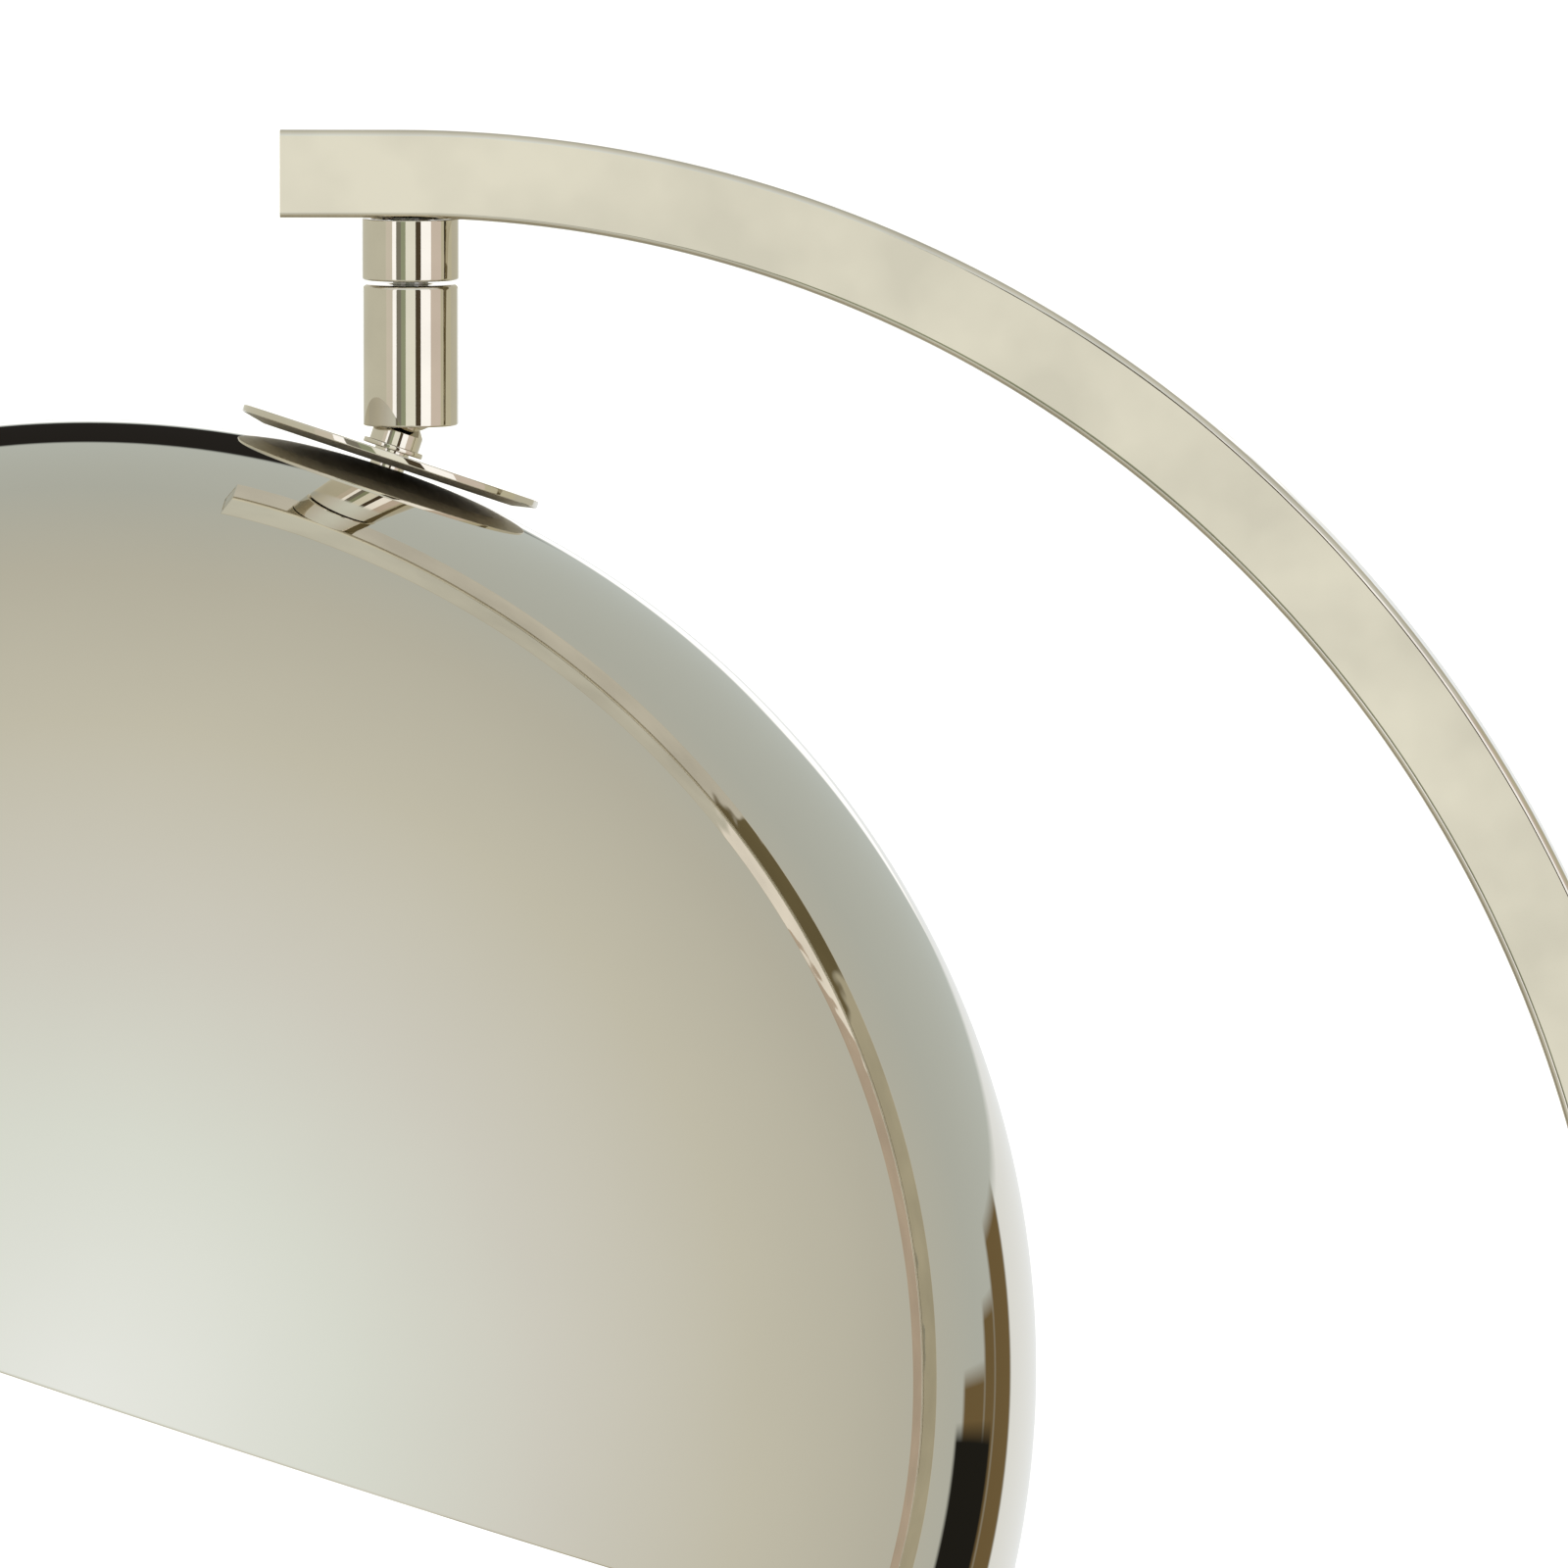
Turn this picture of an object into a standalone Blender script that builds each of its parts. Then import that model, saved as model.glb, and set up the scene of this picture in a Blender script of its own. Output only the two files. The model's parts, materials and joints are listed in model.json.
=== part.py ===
"""Extendable shaving mirror on a weighted base, as an assembly of separate pieces.

A square leg slides in a square post and bends over into an arch. A swivel barrel hangs
under the end of the arch, and a ball joint in it carries a half-ball shell with a round
mirror glass in its mouth. Metres, +Z up, origin at the centre of the foot pad's underside.
"""

import math

import bmesh
import bpy
from mathutils import Matrix

MM = 0.001

# Clearances
GAP = 0.3 * MM  # between neighbouring pieces
SWIVEL_GAP = 0.5 * MM  # open ring between the collar and the barrel
SADDLE_GAP = 0.45 * MM  # collar to the arm's underside, which starts to curve there

# Facets round a turned piece
SEG_LARGE = 48
SEG = 32
SEG_SMALL = 24

# Base
BASE_R = 90 * MM
BASE_EDGE_R = 4 * MM  # rounding of the cover's top edge
COVER_WALL = 1.2 * MM
COVER_LIFT = 0.8 * MM  # the cover's rim stands this far off the floor
FOOT_PAD_INSET = 4 * MM  # from the cover's outside to the pad's edge
FOOT_PAD_T = 1.5 * MM
WEIGHT_T = 14 * MM
POST_INSET = 30 * MM  # from the cover's outside to the leg's axis

# Square post and its fixing
POST_WALL = 1.2 * MM
POST_CORNER = 1.5 * MM
INNER_CORNER = 0.4 * MM  # inside a drawn square tube, and on what fits in one
POST_TOP = 206 * MM
POST_FOOT_H = 24 * MM
FLANGE_RIM = 6 * MM  # past each face of the post
FLANGE_T = 3 * MM
BOLT_R = 3 * MM
BOLT_HEAD_R = 5.5 * MM
BOLT_HEAD_H = 4.5 * MM
BOLT_LEN = 30 * MM
BOLT_WASHER_R = 7.2 * MM
BOLT_WASHER_T = 1.2 * MM
COUNTERBORE_R = 8 * MM
HOLE_PLAY = 0.3 * MM  # radial play of a screw in its hole

# Clamp at the post's top
COLLAR_WALL = 3.7 * MM
COLLAR_H = 23 * MM
COLLAR_LIP = 2.7 * MM
BUSH_H = 24 * MM
BUSH_WALL = 1.2 * MM
CLAMP_DROP = 10 * MM  # clamp screw's axis below the post's top
CLAMP_R = 2 * MM
CLAMP_TIP_R = 1.5 * MM
CLAMP_TIP_L = 1.6 * MM
KNOB_R = 9 * MM
KNOB_T = 8 * MM
KNOB_NECK_R = 4 * MM
KNOB_NECK_L = 3 * MM
KNOB_EDGE = 1 * MM
KNOB_FLUTES = 12
FLUTE_R = 1.2 * MM

# Arm: leg, two-radius arch and a short straight end
TUBE = 10 * MM
TUBE_WALL = 1.2 * MM
TUBE_CORNER = 0.9 * MM
SHOULDER_Z = 248 * MM  # height at which the leg starts to bend
UPPER_R = 138.5 * MM  # centre line of the arch, next to its end
LOWER_R = 150 * MM  # centre line of the arch, next to the leg
UPPER_SWEEP = math.radians(40)
LOWER_SWEEP = math.radians(90) - UPPER_SWEEP
END_RUN = 13.6 * MM
SWIVEL_FROM_BEND = 1 * MM  # swivel axis beyond the start of the bend
LEG_BOTTOM = 62 * MM
END_PLUG_L = 5 * MM
SLIDER_H = 12 * MM
SLIDER_SPIGOT = 14 * MM
SPIGOT_ROOT = 1 * MM  # of the spigot inside the slider's head

# Swivel under the arm's end
SWIVEL_R = 5.5 * MM
SWIVEL_H = 6.75 * MM
SWIVEL_EDGE = 0.3 * MM
BARREL_WALL = 0.7 * MM
BARREL_PLAY = 0.5 * MM  # round the ball, in the barrel's bore
BARREL_TOP_WALL = 2.2 * MM
BARREL_EDGE = 0.5 * MM
BARREL_FOOT = 3.4 * MM  # from the ball's centre to the barrel's lower end
PIN_R = 2 * MM
PIN_HEAD_R = 3.5 * MM
PIN_HEAD_H = 1.5 * MM
PIN_NUT_H = 2.5 * MM
PIN_OVER = 1 * MM
FRICTION_WASHER_T = 0.4 * MM
SPRING_R = 2.8 * MM
SPRING_WIRE_R = 0.3 * MM
SPRING_TURNS = 2
SPRING_ROOM = 2 * MM
SWIVEL_SET = math.radians(13.5)  # how far the barrel is turned at rest

# Ball joint and head
BALL_R = 4.2 * MM
CUP_H = 3.1 * MM
CUP_TOP_WALL = 0.8 * MM
LIP_GRIP = 0.25 * MM  # of the barrel's rolled mouth, inside the ball's radius
LIP_DEPTH = 2.2 * MM
LIP_LAND = 0.3 * MM
SEAT_TOP = 0.8 * MM  # of the mouth's seat, below the ball's centre
SEAT_SHOULDER = 0.4 * MM
MOUTH_FLARE = 0.6 * MM
MOUTH_EDGE_R = 0.2 * MM
MOUTH_EDGE_H = 0.4 * MM
NECK_R = 2.3 * MM
STEM_R = 2.9 * MM
STEM_START = 0.2 * MM  # below the ball
STEM_REACH = 2.7 * MM  # from the ball to the cap disc
STEM_FLANGE_R = 3.5 * MM
STEM_FLANGE_T = 0.6 * MM
CAP_R = 17.6 * MM
CAP_T = 1.4 * MM
CAP_RIM_T = 0.8 * MM
CAP_BEVEL = 2.8 * MM
HEAD_TILT = math.radians(18.8)
SHELL_R = 107.5 * MM
SHELL_WALL = 1 * MM
SPIGOT_R = 2 * MM
LOCK_WASHER_R = 6 * MM
LOCK_WASHER_T = 1 * MM
LOCK_WASHER_PLAY = 0.65 * MM  # to the shell's pole, because the shell curves
HEAD_NUT_R = 4.5 * MM
HEAD_NUT_H = 3 * MM
HEAD_NUT_OVER = 1 * MM  # of the stem's end, past the nut

# Mirror in the shell's mouth; depths are from the mouth's plane towards the pole
RETAINER_PLAY = 1 * MM  # to the shell's inside, because the shell curves
RETAINER_WALL = 1.8 * MM
RETAINER_LIP = 4.7 * MM
RETAINER_LIP_T = 1.1 * MM
RETAINER_EDGE = 0.5 * MM
RETAINER_DEPTH = 0.6 * MM
RETAINER_H = 8.4 * MM
GLASS_T = 3 * MM
GLASS_BEVEL = 0.8 * MM
GLASS_PLAY = 0.4 * MM
FOAM_T = 0.8 * MM
FOAM_WIDTH = 14 * MM
PLATE_T = 1 * MM
SNAP_WIRE_R = 0.6 * MM

# Sizes that follow
POST_X = BASE_R - POST_INSET
FOOT_PAD_R = BASE_R - FOOT_PAD_INSET
LEG_WAY = TUBE + 2 * GAP
POST_INSIDE = LEG_WAY + 2 * BUSH_WALL + 2 * GAP
POST = POST_INSIDE + 2 * POST_WALL
POST_HOLE = POST + 2 * GAP
COLLAR = POST_HOLE + 2 * COLLAR_WALL
FLANGE = POST + 2 * FLANGE_RIM
TUBE_INSIDE = TUBE - 2 * TUBE_WALL
PIN_NUT_R = TUBE_INSIDE / 2 - GAP
BARREL_BORE_R = BALL_R + BARREL_PLAY
BARREL_R = BARREL_BORE_R + BARREL_WALL
LIP_R = BALL_R - LIP_GRIP
CAP_DEPTH = BALL_R + STEM_REACH  # from the ball's centre to the cap disc's top
RETAINER_OUT_R = SHELL_R - SHELL_WALL - RETAINER_PLAY

# Heights that follow
WEIGHT_BOTTOM = FOOT_PAD_T + GAP
WEIGHT_TOP = WEIGHT_BOTTOM + WEIGHT_T
COVER_TOP = WEIGHT_TOP + GAP + COVER_WALL
ARM_TOP = (
    SHOULDER_Z
    + LOWER_R * math.cos(UPPER_SWEEP)
    + UPPER_R * (1 - math.cos(UPPER_SWEEP))
    + TUBE / 2
)
ARCH_REACH = UPPER_R * math.sin(UPPER_SWEEP) + LOWER_R * (1 - math.sin(UPPER_SWEEP))
SWIVEL_X = SWIVEL_FROM_BEND - ARCH_REACH  # from the leg's axis
COLLAR_BOTTOM_Z = ARM_TOP - TUBE - SADDLE_GAP - SWIVEL_H
CUP_TOP = BALL_R + GAP + CUP_TOP_WALL  # this and the next four are above the ball's centre
PIN_HEAD_LOW = CUP_TOP + GAP + SPRING_ROOM + GAP
WASHER_LOW = PIN_HEAD_LOW + PIN_HEAD_H + GAP
BARREL_WALL_LOW = WASHER_LOW + FRICTION_WASHER_T + GAP
BARREL_TOP = BARREL_WALL_LOW + BARREL_TOP_WALL
BALL_Z = COLLAR_BOTTOM_Z - SWIVEL_GAP - BARREL_TOP
POLE_DEPTH = CAP_DEPTH + CAP_T + GAP
MOUTH_DEPTH = POLE_DEPTH + SHELL_R
CLAMP_Z = POST_TOP - CLAMP_DROP


def clear_scene():
    for obj in list(bpy.data.objects):
        bpy.data.objects.remove(obj, do_unlink=True)


def finish(name, colour, roughness, metallic):
    """A plain material of one colour."""
    material = bpy.data.materials.new(name)
    material.use_nodes = True
    shader = material.node_tree.nodes["Principled BSDF"]
    shader.inputs["Base Color"].default_value = (*colour, 1)
    shader.inputs["Roughness"].default_value = roughness
    shader.inputs["Metallic"].default_value = metallic
    material.diffuse_color = (*colour, 1)
    return material


def axis(name, place, parent=None, turn=(0, 0, 0)):
    """An empty on a joint's axis."""
    empty = bpy.data.objects.new(name, None)
    empty.empty_display_size = 20 * MM
    empty.location = place
    empty.rotation_euler = turn
    empty.parent = parent
    bpy.context.scene.collection.objects.link(empty)
    return empty


def add_piece(name, bm, look, parent=None, place=(0, 0, 0)):
    """Turns a bmesh into an object with outward faces, its own material and smooth shading."""
    bmesh.ops.recalc_face_normals(bm, faces=bm.faces)
    mesh = bpy.data.meshes.new(name)
    bm.to_mesh(mesh)
    bm.free()
    mesh.shade_smooth()
    mesh.set_sharp_from_angle(angle=math.radians(35))
    mesh.materials.append(finish(name, *look))
    obj = bpy.data.objects.new(name, mesh)
    obj.location = place
    obj.parent = parent
    bpy.context.scene.collection.objects.link(obj)
    return obj


def cut(obj, cutter):
    """Takes the cutter's shape out of obj, and keeps the cutter as a hidden wire object."""
    cutter.hide_render = True
    cutter.display_type = "WIRE"
    modifier = obj.modifiers.new("cut_" + cutter.name, "BOOLEAN")
    modifier.operation = "DIFFERENCE"
    modifier.solver = "EXACT"
    modifier.object = cutter


def join(obj, other):
    """Unions the other shape into obj, and keeps the other as a hidden wire object."""
    other.hide_render = True
    other.display_type = "WIRE"
    modifier = obj.modifiers.new("join_" + other.name, "BOOLEAN")
    modifier.operation = "UNION"
    modifier.solver = "EXACT"
    modifier.object = other


def arc(radius, start, end, steps, centre=(0.0, 0.0)):
    """Points (x, z) on an arc, angles from +X towards +Z, both ends included."""
    angles = [start + (end - start) * i / steps for i in range(steps + 1)]
    return [
        (centre[0] + radius * math.cos(a), centre[1] + radius * math.sin(a))
        for a in angles
    ]


def turned(profile, segments=SEG, closed=True):
    """A bmesh turned round Z from (radius, z) points. An open profile starts and ends on Z."""
    bm = bmesh.new()
    verts = [bm.verts.new((r, 0, z)) for r, z in profile]
    pairs = list(zip(verts, verts[1:]))
    if closed:
        pairs.append((verts[-1], verts[0]))
    edges = [bm.edges.new(pair) for pair in pairs]
    bmesh.ops.spin(
        bm,
        geom=verts + edges,
        cent=(0, 0, 0),
        axis=(0, 0, 1),
        angle=math.tau,
        steps=segments,
        use_merge=True,
    )
    bmesh.ops.remove_doubles(bm, verts=bm.verts, dist=1e-7)
    return bm


def ring(inner, outer, low, high, segments=SEG):
    return turned([(outer, high), (outer, low), (inner, low), (inner, high)], segments)


def disc(radius, low, high, segments=SEG):
    return turned([(0, high), (radius, high), (radius, low), (0, low)], segments, False)


def rounded_square(side, corner, steps=3):
    """Points (x, y) round a square with rounded corners."""
    half = side / 2 - corner
    points = []
    for i, (sx, sy) in enumerate(((1, 1), (-1, 1), (-1, -1), (1, -1))):
        start = i * math.pi / 2
        points += arc(corner, start, start + math.pi / 2, steps, (sx * half, sy * half))
    return points


def loop_edges(bm, points, z):
    verts = [bm.verts.new((x, y, z)) for x, y in points]
    return [bm.edges.new((verts[i - 1], verts[i])) for i in range(len(verts))]


def square_ring(outer, outer_corner, inner, inner_corner, low, high):
    """A square tube standing on Z."""
    bm = bmesh.new()
    loops = loop_edges(bm, rounded_square(outer, outer_corner), low)
    loops += loop_edges(bm, rounded_square(inner, inner_corner), low)
    bmesh.ops.bridge_loops(bm, edges=loops)
    grown = bmesh.ops.extrude_face_region(bm, geom=bm.faces[:], use_keep_orig=True)
    verts = [g for g in grown["geom"] if isinstance(g, bmesh.types.BMVert)]
    bmesh.ops.translate(bm, verts=verts, vec=(0, 0, high - low))
    return bm


def square_block(side, corner, low, high):
    bm = bmesh.new()
    loops = loop_edges(bm, rounded_square(side, corner), low)
    bmesh.ops.contextual_create(bm, geom=loops)
    grown = bmesh.ops.extrude_face_region(bm, geom=bm.faces[:], use_keep_orig=True)
    verts = [g for g in grown["geom"] if isinstance(g, bmesh.types.BMVert)]
    bmesh.ops.translate(bm, verts=verts, vec=(0, 0, high - low))
    return bm


def corners(count):
    """Angles of evenly spaced points round a circle."""
    return [math.tau * i / count for i in range(count)]


def hex_nut(radius, bore, low, high):
    """A hexagonal ring with a round bore, radius being across its corners."""
    bm = bmesh.new()
    outer = [(radius * math.cos(a), radius * math.sin(a)) for a in corners(6)]
    inner = [(bore * math.cos(a), bore * math.sin(a)) for a in corners(SEG_SMALL)]
    loops = loop_edges(bm, outer, low)
    loops += loop_edges(bm, inner, low)
    bmesh.ops.bridge_loops(bm, edges=loops)
    grown = bmesh.ops.extrude_face_region(bm, geom=bm.faces[:], use_keep_orig=True)
    verts = [g for g in grown["geom"] if isinstance(g, bmesh.types.BMVert)]
    bmesh.ops.translate(bm, verts=verts, vec=(0, 0, high - low))
    return bm


def moved(bm, matrix):
    bmesh.ops.transform(bm, matrix=matrix, verts=bm.verts)
    return bm


ALONG_X = Matrix.Rotation(math.pi / 2, 4, "Y")  # turns +Z to +X

NICKEL = ((0.78, 0.74, 0.66), 0.08, 1.0)
STEEL = ((0.55, 0.55, 0.54), 0.3, 1.0)
IRON = ((0.09, 0.09, 0.09), 0.7, 0.6)
BRASS = ((0.70, 0.53, 0.25), 0.3, 1.0)
NYLON = ((0.85, 0.84, 0.80), 0.5, 0.0)
RUBBER = ((0.03, 0.03, 0.03), 0.8, 0.0)
FOAM = ((0.12, 0.12, 0.12), 0.9, 0.0)
GLASS = ((0.90, 0.92, 0.92), 0.02, 1.0)


def make_base():
    """Foot pad, iron weight, polished cover, and the flange round the post's foot."""
    add_piece("foot_pad", disc(FOOT_PAD_R, 0, FOOT_PAD_T, SEG_LARGE), RUBBER)
    inner_r = BASE_R - COVER_WALL
    edge = BASE_EDGE_R
    weight_r = inner_r - GAP
    shoulder = edge - COVER_WALL
    weight = turned(
        [(0, WEIGHT_TOP), (weight_r - shoulder, WEIGHT_TOP)]
        + [(weight_r, WEIGHT_TOP - shoulder), (weight_r, WEIGHT_BOTTOM), (0, WEIGHT_BOTTOM)],
        SEG_LARGE,
        False,
    )
    weight = add_piece("base_weight", weight, IRON)
    place = (POST_X, 0, 0)
    bore = disc(BOLT_R + HOLE_PLAY, 0, COVER_TOP, SEG_SMALL)
    cut(weight, add_piece("bolt_bore", bore, IRON, place=place))
    pocket_top = WEIGHT_BOTTOM + BOLT_HEAD_H + BOLT_WASHER_T + 4 * GAP
    pocket = disc(COUNTERBORE_R, 0, pocket_top, SEG)
    cut(weight, add_piece("bolt_pocket", pocket, IRON, place=place))

    outside = arc(edge, math.pi / 2, 0, 4, (BASE_R - edge, COVER_TOP - edge))
    inside = arc(shoulder, 0, math.pi / 2, 4, (BASE_R - edge, COVER_TOP - edge))
    profile = [(0, COVER_TOP), *outside, (BASE_R, COVER_LIFT), (inner_r, COVER_LIFT)]
    profile += [*inside, (0, COVER_TOP - COVER_WALL)]
    cover = add_piece("base_cover", turned(profile, SEG_LARGE, False), NICKEL)
    opening = square_block(POST_HOLE, POST_CORNER + GAP, WEIGHT_TOP, 2 * COVER_TOP)
    cut(cover, add_piece("cover_opening", opening, NICKEL, place=place))
    low = COVER_TOP + GAP
    flange = square_ring(FLANGE, POST_CORNER, POST_HOLE, POST_CORNER, low, low + FLANGE_T)
    add_piece("post_flange", flange, NICKEL, place=place)


def make_post():
    """Square post, the block in its foot, and the bolt and washer that hold it down."""
    place = (POST_X, 0, 0)
    low = WEIGHT_TOP + GAP
    tube = square_ring(POST, POST_CORNER, POST_INSIDE, INNER_CORNER, low, POST_TOP)
    tube = add_piece("post_tube", tube, NICKEL, place=place)
    cut(tube, clamp_bore("post_bore"))
    block = square_block(POST_INSIDE - 2 * GAP, INNER_CORNER, low, low + POST_FOOT_H)
    block = add_piece("post_foot_block", block, STEEL, place=place)
    head_low = WEIGHT_BOTTOM + GAP
    head_high = head_low + BOLT_HEAD_H
    tip = head_high + BOLT_LEN
    bore = disc(BOLT_R + HOLE_PLAY, low - POST_FOOT_H, tip + GAP, SEG_SMALL)
    cut(block, add_piece("block_bore", bore, STEEL, place=place))
    bolt = turned(
        [(0, tip), (BOLT_R, tip), (BOLT_R, head_high), (BOLT_HEAD_R, head_high)]
        + [(BOLT_HEAD_R, head_low), (0, head_low)],
        SEG_SMALL,
        False,
    )
    add_piece("post_bolt", bolt, STEEL, place=place)
    washer_low = head_high + GAP
    washer_high = washer_low + BOLT_WASHER_T
    washer = ring(BOLT_R + HOLE_PLAY, BOLT_WASHER_R, washer_low, washer_high, SEG_SMALL)
    add_piece("post_washer", washer, STEEL, place=place)


def clamp_bore(name):
    """Cutter for the clamp screw's hole, from the leg's face outwards."""
    bore = moved(disc(CLAMP_R + HOLE_PLAY, TUBE / 2 - GAP, COLLAR, SEG_SMALL), ALONG_X)
    return add_piece(name, bore, STEEL, place=(POST_X, 0, CLAMP_Z))


def make_clamp_seat():
    """Collar on the post's top and the nylon bush that guides the leg."""
    place = (POST_X, 0, 0)
    bush_side = POST_INSIDE - 2 * GAP
    bush = square_ring(
        bush_side, INNER_CORNER, LEG_WAY, TUBE_CORNER, POST_TOP - BUSH_H, POST_TOP
    )
    bush = add_piece("guide_bush", bush, NYLON, place=place)
    cut(bush, clamp_bore("bush_bore"))
    top = POST_TOP + GAP + COLLAR_LIP
    collar = square_block(COLLAR, POST_CORNER, top - COLLAR_H, top)
    collar = add_piece("clamp_collar", collar, NICKEL, place=place)
    seat = square_block(POST_HOLE, POST_CORNER + GAP, POST_TOP - COLLAR_H, POST_TOP + GAP)
    cut(collar, add_piece("collar_seat", seat, NICKEL, place=place))
    way = square_block(LEG_WAY, TUBE_CORNER, POST_TOP - COLLAR_H, POST_TOP + COLLAR_H)
    cut(collar, add_piece("collar_way", way, NICKEL, place=place))
    cut(collar, clamp_bore("collar_bore"))


def make_clamp():
    """Clamp screw with its brass tip, and the fluted knob on it."""
    screw_axis = axis("clamp_axis", (POST_X, 0, CLAMP_Z))
    tip_end = TUBE / 2 + GAP + CLAMP_TIP_L
    tip = moved(disc(CLAMP_TIP_R, TUBE / 2 + GAP, tip_end, SEG_SMALL), ALONG_X)
    add_piece("clamp_tip", tip, BRASS, screw_axis)
    knob_low = COLLAR / 2 + 3 * GAP
    face = knob_low + KNOB_NECK_L
    screw_end = face + KNOB_T / 2
    screw = moved(disc(CLAMP_R, tip_end + GAP, screw_end, SEG_SMALL), ALONG_X)
    add_piece("clamp_screw", screw, STEEL, screw_axis)
    bore = CLAMP_R + HOLE_PLAY
    crown = face + KNOB_T
    profile = [(0, crown), (KNOB_R - KNOB_EDGE, crown), (KNOB_R, crown - KNOB_EDGE)]
    profile += [(KNOB_R, face + KNOB_EDGE), (KNOB_R - KNOB_EDGE, face), (KNOB_NECK_R, face)]
    profile += [(KNOB_NECK_R, knob_low), (bore, knob_low)]
    profile += [(bore, screw_end + GAP), (0, screw_end + GAP)]
    knob = moved(turned(profile, 4 * KNOB_FLUTES, False), ALONG_X)
    knob = add_piece("clamp_knob", knob, NICKEL, screw_axis)
    flutes = bmesh.new()
    for angle in corners(KNOB_FLUTES):
        place = Matrix.Translation((0, KNOB_R * math.cos(angle), KNOB_R * math.sin(angle)))
        bmesh.ops.create_cone(
            flutes,
            cap_ends=True,
            segments=8,
            radius1=FLUTE_R,
            radius2=FLUTE_R,
            depth=KNOB_T,
            matrix=place @ Matrix.Translation(((face + crown) / 2, 0, 0)) @ ALONG_X,
        )
    cut(knob, add_piece("knob_flutes", flutes, NICKEL, screw_axis))


def extruded(bm, edges, vector):
    """Extrudes the edges along the vector and returns the new end edges."""
    grown = bmesh.ops.extrude_edge_only(bm, edges=edges)["geom"]
    verts = [g for g in grown if isinstance(g, bmesh.types.BMVert)]
    bmesh.ops.translate(bm, verts=verts, vec=vector)
    return [e for e in grown if isinstance(e, bmesh.types.BMEdge) and e.is_boundary]


def bent(bm, edges, centre, angle, steps):
    """Spins the edges about an axis along Y and returns the new end edges."""
    verts = list({v for edge in edges for v in edge.verts})
    last = bmesh.ops.spin(
        bm, geom=verts + edges, cent=centre, axis=(0, 1, 0), angle=angle, steps=steps
    )
    return [g for g in last["geom_last"] if isinstance(g, bmesh.types.BMEdge)]


def make_arm(leg):
    """Arm tube, its end plug, and the nylon slider in the foot of the leg."""
    bm = bmesh.new()
    start = loop_edges(bm, rounded_square(TUBE, TUBE_CORNER), LEG_BOTTOM)
    start += loop_edges(bm, rounded_square(TUBE_INSIDE, INNER_CORNER), LEG_BOTTOM)
    edges = extruded(bm, start, (0, 0, SHOULDER_Z - LEG_BOTTOM))
    edges = bent(bm, edges, (-LOWER_R, 0, SHOULDER_Z), -LOWER_SWEEP, 14)
    step_in = LOWER_R - UPPER_R
    centre = (
        -LOWER_R + step_in * math.cos(LOWER_SWEEP),
        0,
        SHOULDER_Z + step_in * math.sin(LOWER_SWEEP),
    )
    edges = bent(bm, edges, centre, -UPPER_SWEEP, 12)
    end = extruded(bm, edges, (-END_RUN, 0, 0))
    bmesh.ops.triangle_fill(bm, edges=start, use_beauty=True)
    bmesh.ops.triangle_fill(bm, edges=end, use_beauty=True)
    tube = add_piece("arm_tube", bm, NICKEL, leg)
    hole = disc(PIN_R + HOLE_PLAY, ARM_TOP - TUBE - GAP, ARM_TOP - TUBE / 2, SEG_SMALL)
    cut(tube, add_piece("pin_hole", hole, NICKEL, leg, (SWIVEL_X, 0, 0)))

    end_x = -ARCH_REACH - END_RUN
    plug = square_block(TUBE_INSIDE - 2 * GAP, INNER_CORNER, 0, END_PLUG_L)
    plug = moved(plug, Matrix.Translation((end_x, 0, ARM_TOP - TUBE / 2)) @ ALONG_X)
    add_piece("arm_end_plug", plug, NICKEL, leg)

    head_top = LEG_BOTTOM - GAP
    side = POST_INSIDE - 2 * GAP
    slider = square_block(side, INNER_CORNER, head_top - SLIDER_H, head_top)
    spigot_top = head_top + SLIDER_SPIGOT
    spigot = square_block(TUBE_INSIDE - 2 * GAP, INNER_CORNER, head_top - SPIGOT_ROOT, spigot_top)
    slider = add_piece("leg_slider", slider, NYLON, leg)
    join(slider, add_piece("slider_spigot", spigot, NYLON, leg))


def make_swivel_seat(leg):
    """Collar under the arm, the pin that the barrel turns on, and its nut inside the tube."""
    place = (SWIVEL_X, 0, 0)
    bore = PIN_R + HOLE_PLAY
    low = COLLAR_BOTTOM_Z
    top = low + SWIVEL_H
    profile = [(SWIVEL_R, top), (SWIVEL_R, low + SWIVEL_EDGE), (SWIVEL_R - SWIVEL_EDGE, low)]
    profile += [(bore, low), (bore, top)]
    add_piece("swivel_collar", turned(profile), NICKEL, leg, place)
    nut_low = ARM_TOP - TUBE + TUBE_WALL + GAP
    nut_high = nut_low + PIN_NUT_H
    add_piece("pin_nut", hex_nut(PIN_NUT_R, bore, nut_low, nut_high), STEEL, leg, place)
    pin_top = nut_high + PIN_OVER
    head_low = BALL_Z + PIN_HEAD_LOW
    head_top = head_low + PIN_HEAD_H
    profile = [(0, pin_top), (PIN_R, pin_top), (PIN_R, head_top), (PIN_HEAD_R, head_top)]
    profile += [(PIN_HEAD_R, head_low), (0, head_low)]
    add_piece("swivel_pin", turned(profile, SEG_SMALL, False), STEEL, leg, place)


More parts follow.
